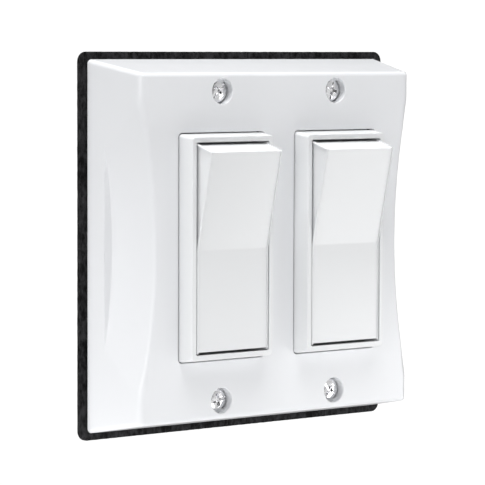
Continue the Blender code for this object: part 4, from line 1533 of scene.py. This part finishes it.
    def body_cutters(
        self, front: float, back: float, floor: float, flange_back: float
    ) -> list[bpy.types.Object]:
        """The holes, notches and slots of the body.

        Args:
            front: The depth of the body's front.
            back: The depth of its back.
            floor: The depth of the floor of its cavity.
            flange_back: The depth of the back of its flange.

        Returns:
            Closed objects to cut away.
        """
        wall_start, wall_end = self.gang + 13.0, self.gang + 17.0
        strip_thickness, strip_low, strip_high = 1.5, 14.9, 19.3
        screw_hole, screw_depth, screw_rise = 2.4, -4.0, 16.0
        notch_half, notch_rise = 6.0, 36.85
        wire_hole, funnel_radius, wire_rise = 1.15, 1.9, 17.5
        release_half, release_rise, release_deep = 1.6, 0.8, 1.6
        funnel = [
            *at_depths((wire_hole,), back - 2.0, back - 0.9),
            *at_depths((funnel_radius,), back - 0.4, back + PAST),
        ]
        tools = []
        for way in (-1, 1):
            low, high = sorted((way * strip_low, way * strip_high))
            corner = (wall_start, floor - strip_thickness, low)
            tools.append(block("strip_slot", corner, (wall_end, floor, high)))
            hole = at_depths((screw_hole,), 0.0, wall_end - wall_start)
            tools.append(rod("screw_hole", hole, (wall_start, screw_depth, way * screw_rise), Facing.RIGHT))
            low, high = sorted((way * notch_rise, way * (self.body_box.half[2] + PAST)))
            corner = (self.gang - notch_half, front - PAST, low)
            tools.append(block("notch", corner, (self.gang + notch_half, flange_back + PAST, high)))
            for column in (-5.5, 5.5):
                tools.append(rod("wire_hole", funnel, (self.gang + column, 0.0, way * wire_rise)))
            corner = (self.gang - release_half, back - release_deep, way * wire_rise - release_rise)
            far = (self.gang + release_half, back + PAST, way * wire_rise + release_rise)
            tools.append(block("release_slot", corner, far))
        hole = at_depths((self.rivet_hole,), front - PAST, flange_back + PAST)
        for x, z in self.corner_places():
            tools.append(rod("rivet_hole", hole, (x, 0.0, z)))
        return tools

    def screws(self) -> list[Screw]:
        """The switch's terminal, ground and box screws."""
        terminal = [
            Screw.fitted(
                f"{self.side}_{name}_terminal_screw",
                Facing.LEFT,
                name=f"{self.side}_{name}_binding_screw",
                slot="terminal_brass",
                head_height=2.6,
                crown=0.25,
                shank_radius=2.0,
                turn=turn,
            )
            for name, turn in (("common", 0.5), ("switched", 1.1))
        ]
        ground = Screw.fitted(
            f"{self.side}_ground_screw",
            Facing.RIGHT,
            name=f"{self.side}_bonding_screw",
            slot="ground_green",
            head_height=2.4,
            crown=0.3,
            shank_radius=self.screw_radius,
            recess=Recess.SLOT,
            recess_depth=0.9,
            turn=0.9,
        )
        box = [
            Screw.fitted(
                f"{self.side}_box_screw_{end}",
                name=f"{self.side}_box_fixing_{end}",
                slot="strap_steel",
                head_height=1.2,
                crown=0.3,
                shank_radius=self.screw_radius,
                recess_depth=0.9,
                turn=turn,
                columns=56,
            )
            for end, turn in (("top", 0.3), ("bottom", 1.2))
        ]
        return [*terminal, ground, *box]

    def build(self, cover_front: float) -> None:
        """Builds every detailed piece of the switch.

        Args:
            cover_front: The depth of the cover's front face.
        """
        self.build_frame(cover_front)
        self.build_paddle()
        self.build_strap()
        self.build_body()
        for screw in self.screws():
            screw.build("base", self.materials)


# ---------------------------------------------------------------- studio


@dataclass(frozen=True)
class Lamp:
    """A square soft light: where it hangs, in metres, its side and its power in watts."""

    name: str
    at: tuple[float, float, float]
    size: float
    watts: float
    target: tuple[float, float, float] = (0.0, -0.02, 0.0)


LAMPS = (
    Lamp("high_front_left", (-0.154, -0.423, 0.779), 0.45, 2.5),
    Lamp("high_side_left", (-0.423, -0.154, 0.779), 0.45, 1.9),
    Lamp("steep_left", (-0.175, -0.047, 0.676), 0.30, 1.75),
    Lamp("over_top", (0.0, -0.05, 0.35), 0.30, 0.70),
    Lamp("left", (-0.776, -0.448, 0.078), 0.20, 0.95),
    Lamp("low_front", (0.0, -0.20, -0.20), 0.22, 0.30),
    Lamp("low_left", (-0.20, -0.05, -0.15), 0.22, 0.18),
    Lamp("far_left", (-0.30, 0.08, -0.20), 0.22, 0.37),
    Lamp("front_right", (0.636, -0.636, 0.0), 0.80, 0.85),
    Lamp("low_right", (0.30, -0.22, -0.15), 0.22, 0.38),
)


@dataclass(frozen=True)
class Studio:
    """The camera, a pale floor and soft lights on a white background.

    The sky is white. The camera sees it as bright as the backdrop, and polished things mirror it
    between the two heights of the mirrored span: as bright as mirrored below, and black above.
    """

    camera_at: tuple[float, float, float] = (-0.5614, -0.7145, 0.0633)
    yaw: float = math.radians(38.35)
    pitch: float = math.radians(4.05)
    roll: float = math.radians(0.20)
    lens: float = 208.7
    floor_depth: float = 0.42
    floor_radius: float = 2.0
    floor_glow: float = 0.55
    sky: float = 0.12
    backdrop: float = 1.05
    mirrored: float = 0.8
    mirrored_span: tuple[float, float] = (-0.6, 0.5)

    def place_camera(self) -> None:
        """The camera: it looks along its yaw, tips down by its pitch and rolls about its view."""
        forward = np.array(
            [
                math.sin(self.yaw) * math.cos(self.pitch),
                math.cos(self.yaw) * math.cos(self.pitch),
                -math.sin(self.pitch),
            ]
        )
        right = np.array([math.cos(self.yaw), -math.sin(self.yaw), 0.0])
        up = np.cross(right, forward)
        rolled_right = math.cos(self.roll) * right + math.sin(self.roll) * up
        rolled_up = math.cos(self.roll) * up - math.sin(self.roll) * right
        axes = Matrix([axis.tolist() for axis in (rolled_right, rolled_up, -forward)])
        data = bpy.data.cameras.new("camera")
        data.lens = self.lens
        data.clip_end = 20.0
        camera = bpy.data.objects.new("camera", data)
        bpy.context.scene.collection.objects.link(camera)
        camera.matrix_world = Matrix.Translation(self.camera_at) @ axes.transposed().to_4x4()
        bpy.context.scene.camera = camera

    def lay_floor(self) -> None:
        """A round pale floor, well below the unit, which hangs as if on a wall.

        Its paper glows a little, for the camera only.
        """
        profile = [(share * self.floor_radius / MM, 0.0) for share in (0.0, 0.25, 0.5, 0.75, 1.0)]
        rings = turned_rings(profile, 96)
        points = np.stack([rings[..., 0], rings[..., 2], rings[..., 1] - self.floor_depth / MM], axis=-1)
        sheet = Surface().grid(points)
        mesh = bpy.data.meshes.new("floor")
        mesh.from_pydata((np.concatenate(sheet.points) * MM).tolist(), [], sheet.faces)
        mesh.validate()
        floor = bpy.data.objects.new("floor", mesh)
        bpy.context.scene.collection.objects.link(floor)
        graph = Graph(bpy.data.materials.new("floor_paper"))
        seen = Value(graph, graph.node("ShaderNodeLightPath").outputs["Is Camera Ray"])
        paper = graph.surface(
            {
                "Base Color": graph.blend(graph.noise(60.0), (0.9, 0.9, 0.9), (0.87, 0.87, 0.87)),
                "Roughness": 0.9,
                "Emission Color": graph.blend(seen, (0.0, 0.0, 0.0), (1.0, 1.0, 1.0)),
                "Emission Strength": self.floor_glow,
            }
        )
        mesh.materials.append(paper)

    def light_world(self) -> None:
        """An even white sky, which the camera and polished things see differently from its light."""
        world = bpy.data.worlds.new("white_sky")
        graph = Graph(world)
        path = graph.node("ShaderNodeLightPath").outputs
        direction = graph.node("ShaderNodeTexCoord").outputs["Generated"]
        height = graph.node("ShaderNodeSeparateXYZ", {0: direction}).outputs["Z"]
        low, high = self.mirrored_span
        span = {0: height, 1: low, 2: high, 3: self.mirrored, 4: 0.0}
        mirrored = graph.node("ShaderNodeMapRange", span).outputs[0]
        strength = {0: path["Is Glossy Ray"], 2: self.sky, 3: mirrored}
        bright = graph.node("ShaderNodeMix", strength).outputs[0]
        light, shown = (
            graph.node("ShaderNodeBackground", {"Color": (1.0, 1.0, 1.0, 1.0), "Strength": power}).outputs[0]
            for power in (bright, self.backdrop)
        )
        mixed = graph.node("ShaderNodeMixShader", {0: path["Is Camera Ray"], 1: light, 2: shown})
        graph.node("ShaderNodeOutputWorld", {"Surface": mixed.outputs[0]})
        bpy.context.scene.world = world

    def hang_light(self, lamp: Lamp) -> None:
        """Hangs a square soft light that faces the unit and doesn't show itself.

        Args:
            lamp: The light's name, place, size and power.
        """
        data = bpy.data.lights.new(lamp.name, "AREA")
        data.shape = "SQUARE"
        data.size = lamp.size
        data.energy = lamp.watts
        hung = bpy.data.objects.new(lamp.name, data)
        bpy.context.scene.collection.objects.link(hung)
        hung.location = lamp.at
        facing = Vector(lamp.target) - Vector(lamp.at)
        hung.rotation_euler = facing.to_track_quat("-Z", "Y").to_euler()
        hung.visible_camera = False

    def build(self) -> None:
        """Sets up the whole studio."""
        self.place_camera()
        self.lay_floor()
        self.light_world()
        for lamp in LAMPS:
            self.hang_light(lamp)
        bpy.context.scene.view_settings.view_transform = "Standard"


# ---------------------------------------------------------------- the whole unit


def make_materials() -> Materials:
    """One material for each of the record's slots."""
    return {slot: finish.make() for slot, finish in FINISHES.items()}


def dress_nodes(frame: dict[str, Any], materials: Materials) -> None:
    """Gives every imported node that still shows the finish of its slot.

    Args:
        frame: The loaded frame.
        materials: The finishes by slot.
    """
    for part in frame["record"]["subparts"]:
        node = frame["nodes"][part["node"]]
        if node.hide_render:
            continue
        for slot in node.material_slots:
            slot.material = materials[part["material_slot"]]
        LOG.info("%s keeps its packed shape", part["node"])


def build_cover_screws(materials: Materials) -> None:
    """The four plated screws in the cover's counterbores."""
    turns = {"left_top": 0.75, "right_top": 1.35, "left_bottom": 0.2, "right_bottom": 2.4}
    for place, turn in turns.items():
        screw = Screw.fitted(
            f"cover_screw_{place}",
            name=f"cover_fixing_{place}",
            slot="screw_chrome",
            head_height=1.3,
            crown=0.42,
            shank_radius=1.75,
            turn=turn,
            columns=120,
        )
        screw.build("base", materials)


def main() -> None:
    """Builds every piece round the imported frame."""
    logging.basicConfig(level=logging.INFO, format="%(name)s: %(message)s")
    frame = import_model()
    materials = make_materials()
    switches = [Switch(side, materials) for side in ("left", "right")]
    window_half = tuple(size + CLEARANCE for size in switches[0].frame_half)
    gangs = tuple(switch.gang for switch in switches)
    cover = Cover(materials, gangs, switches[0].cover_screw_rise, window_half)
    cover.build()
    Gasket(materials).build()
    build_cover_screws(materials)
    for switch in switches:
        switch.build(cover.front)
    dress_nodes(frame, materials)
    Studio().build()


if __name__ == "__main__":
    main()
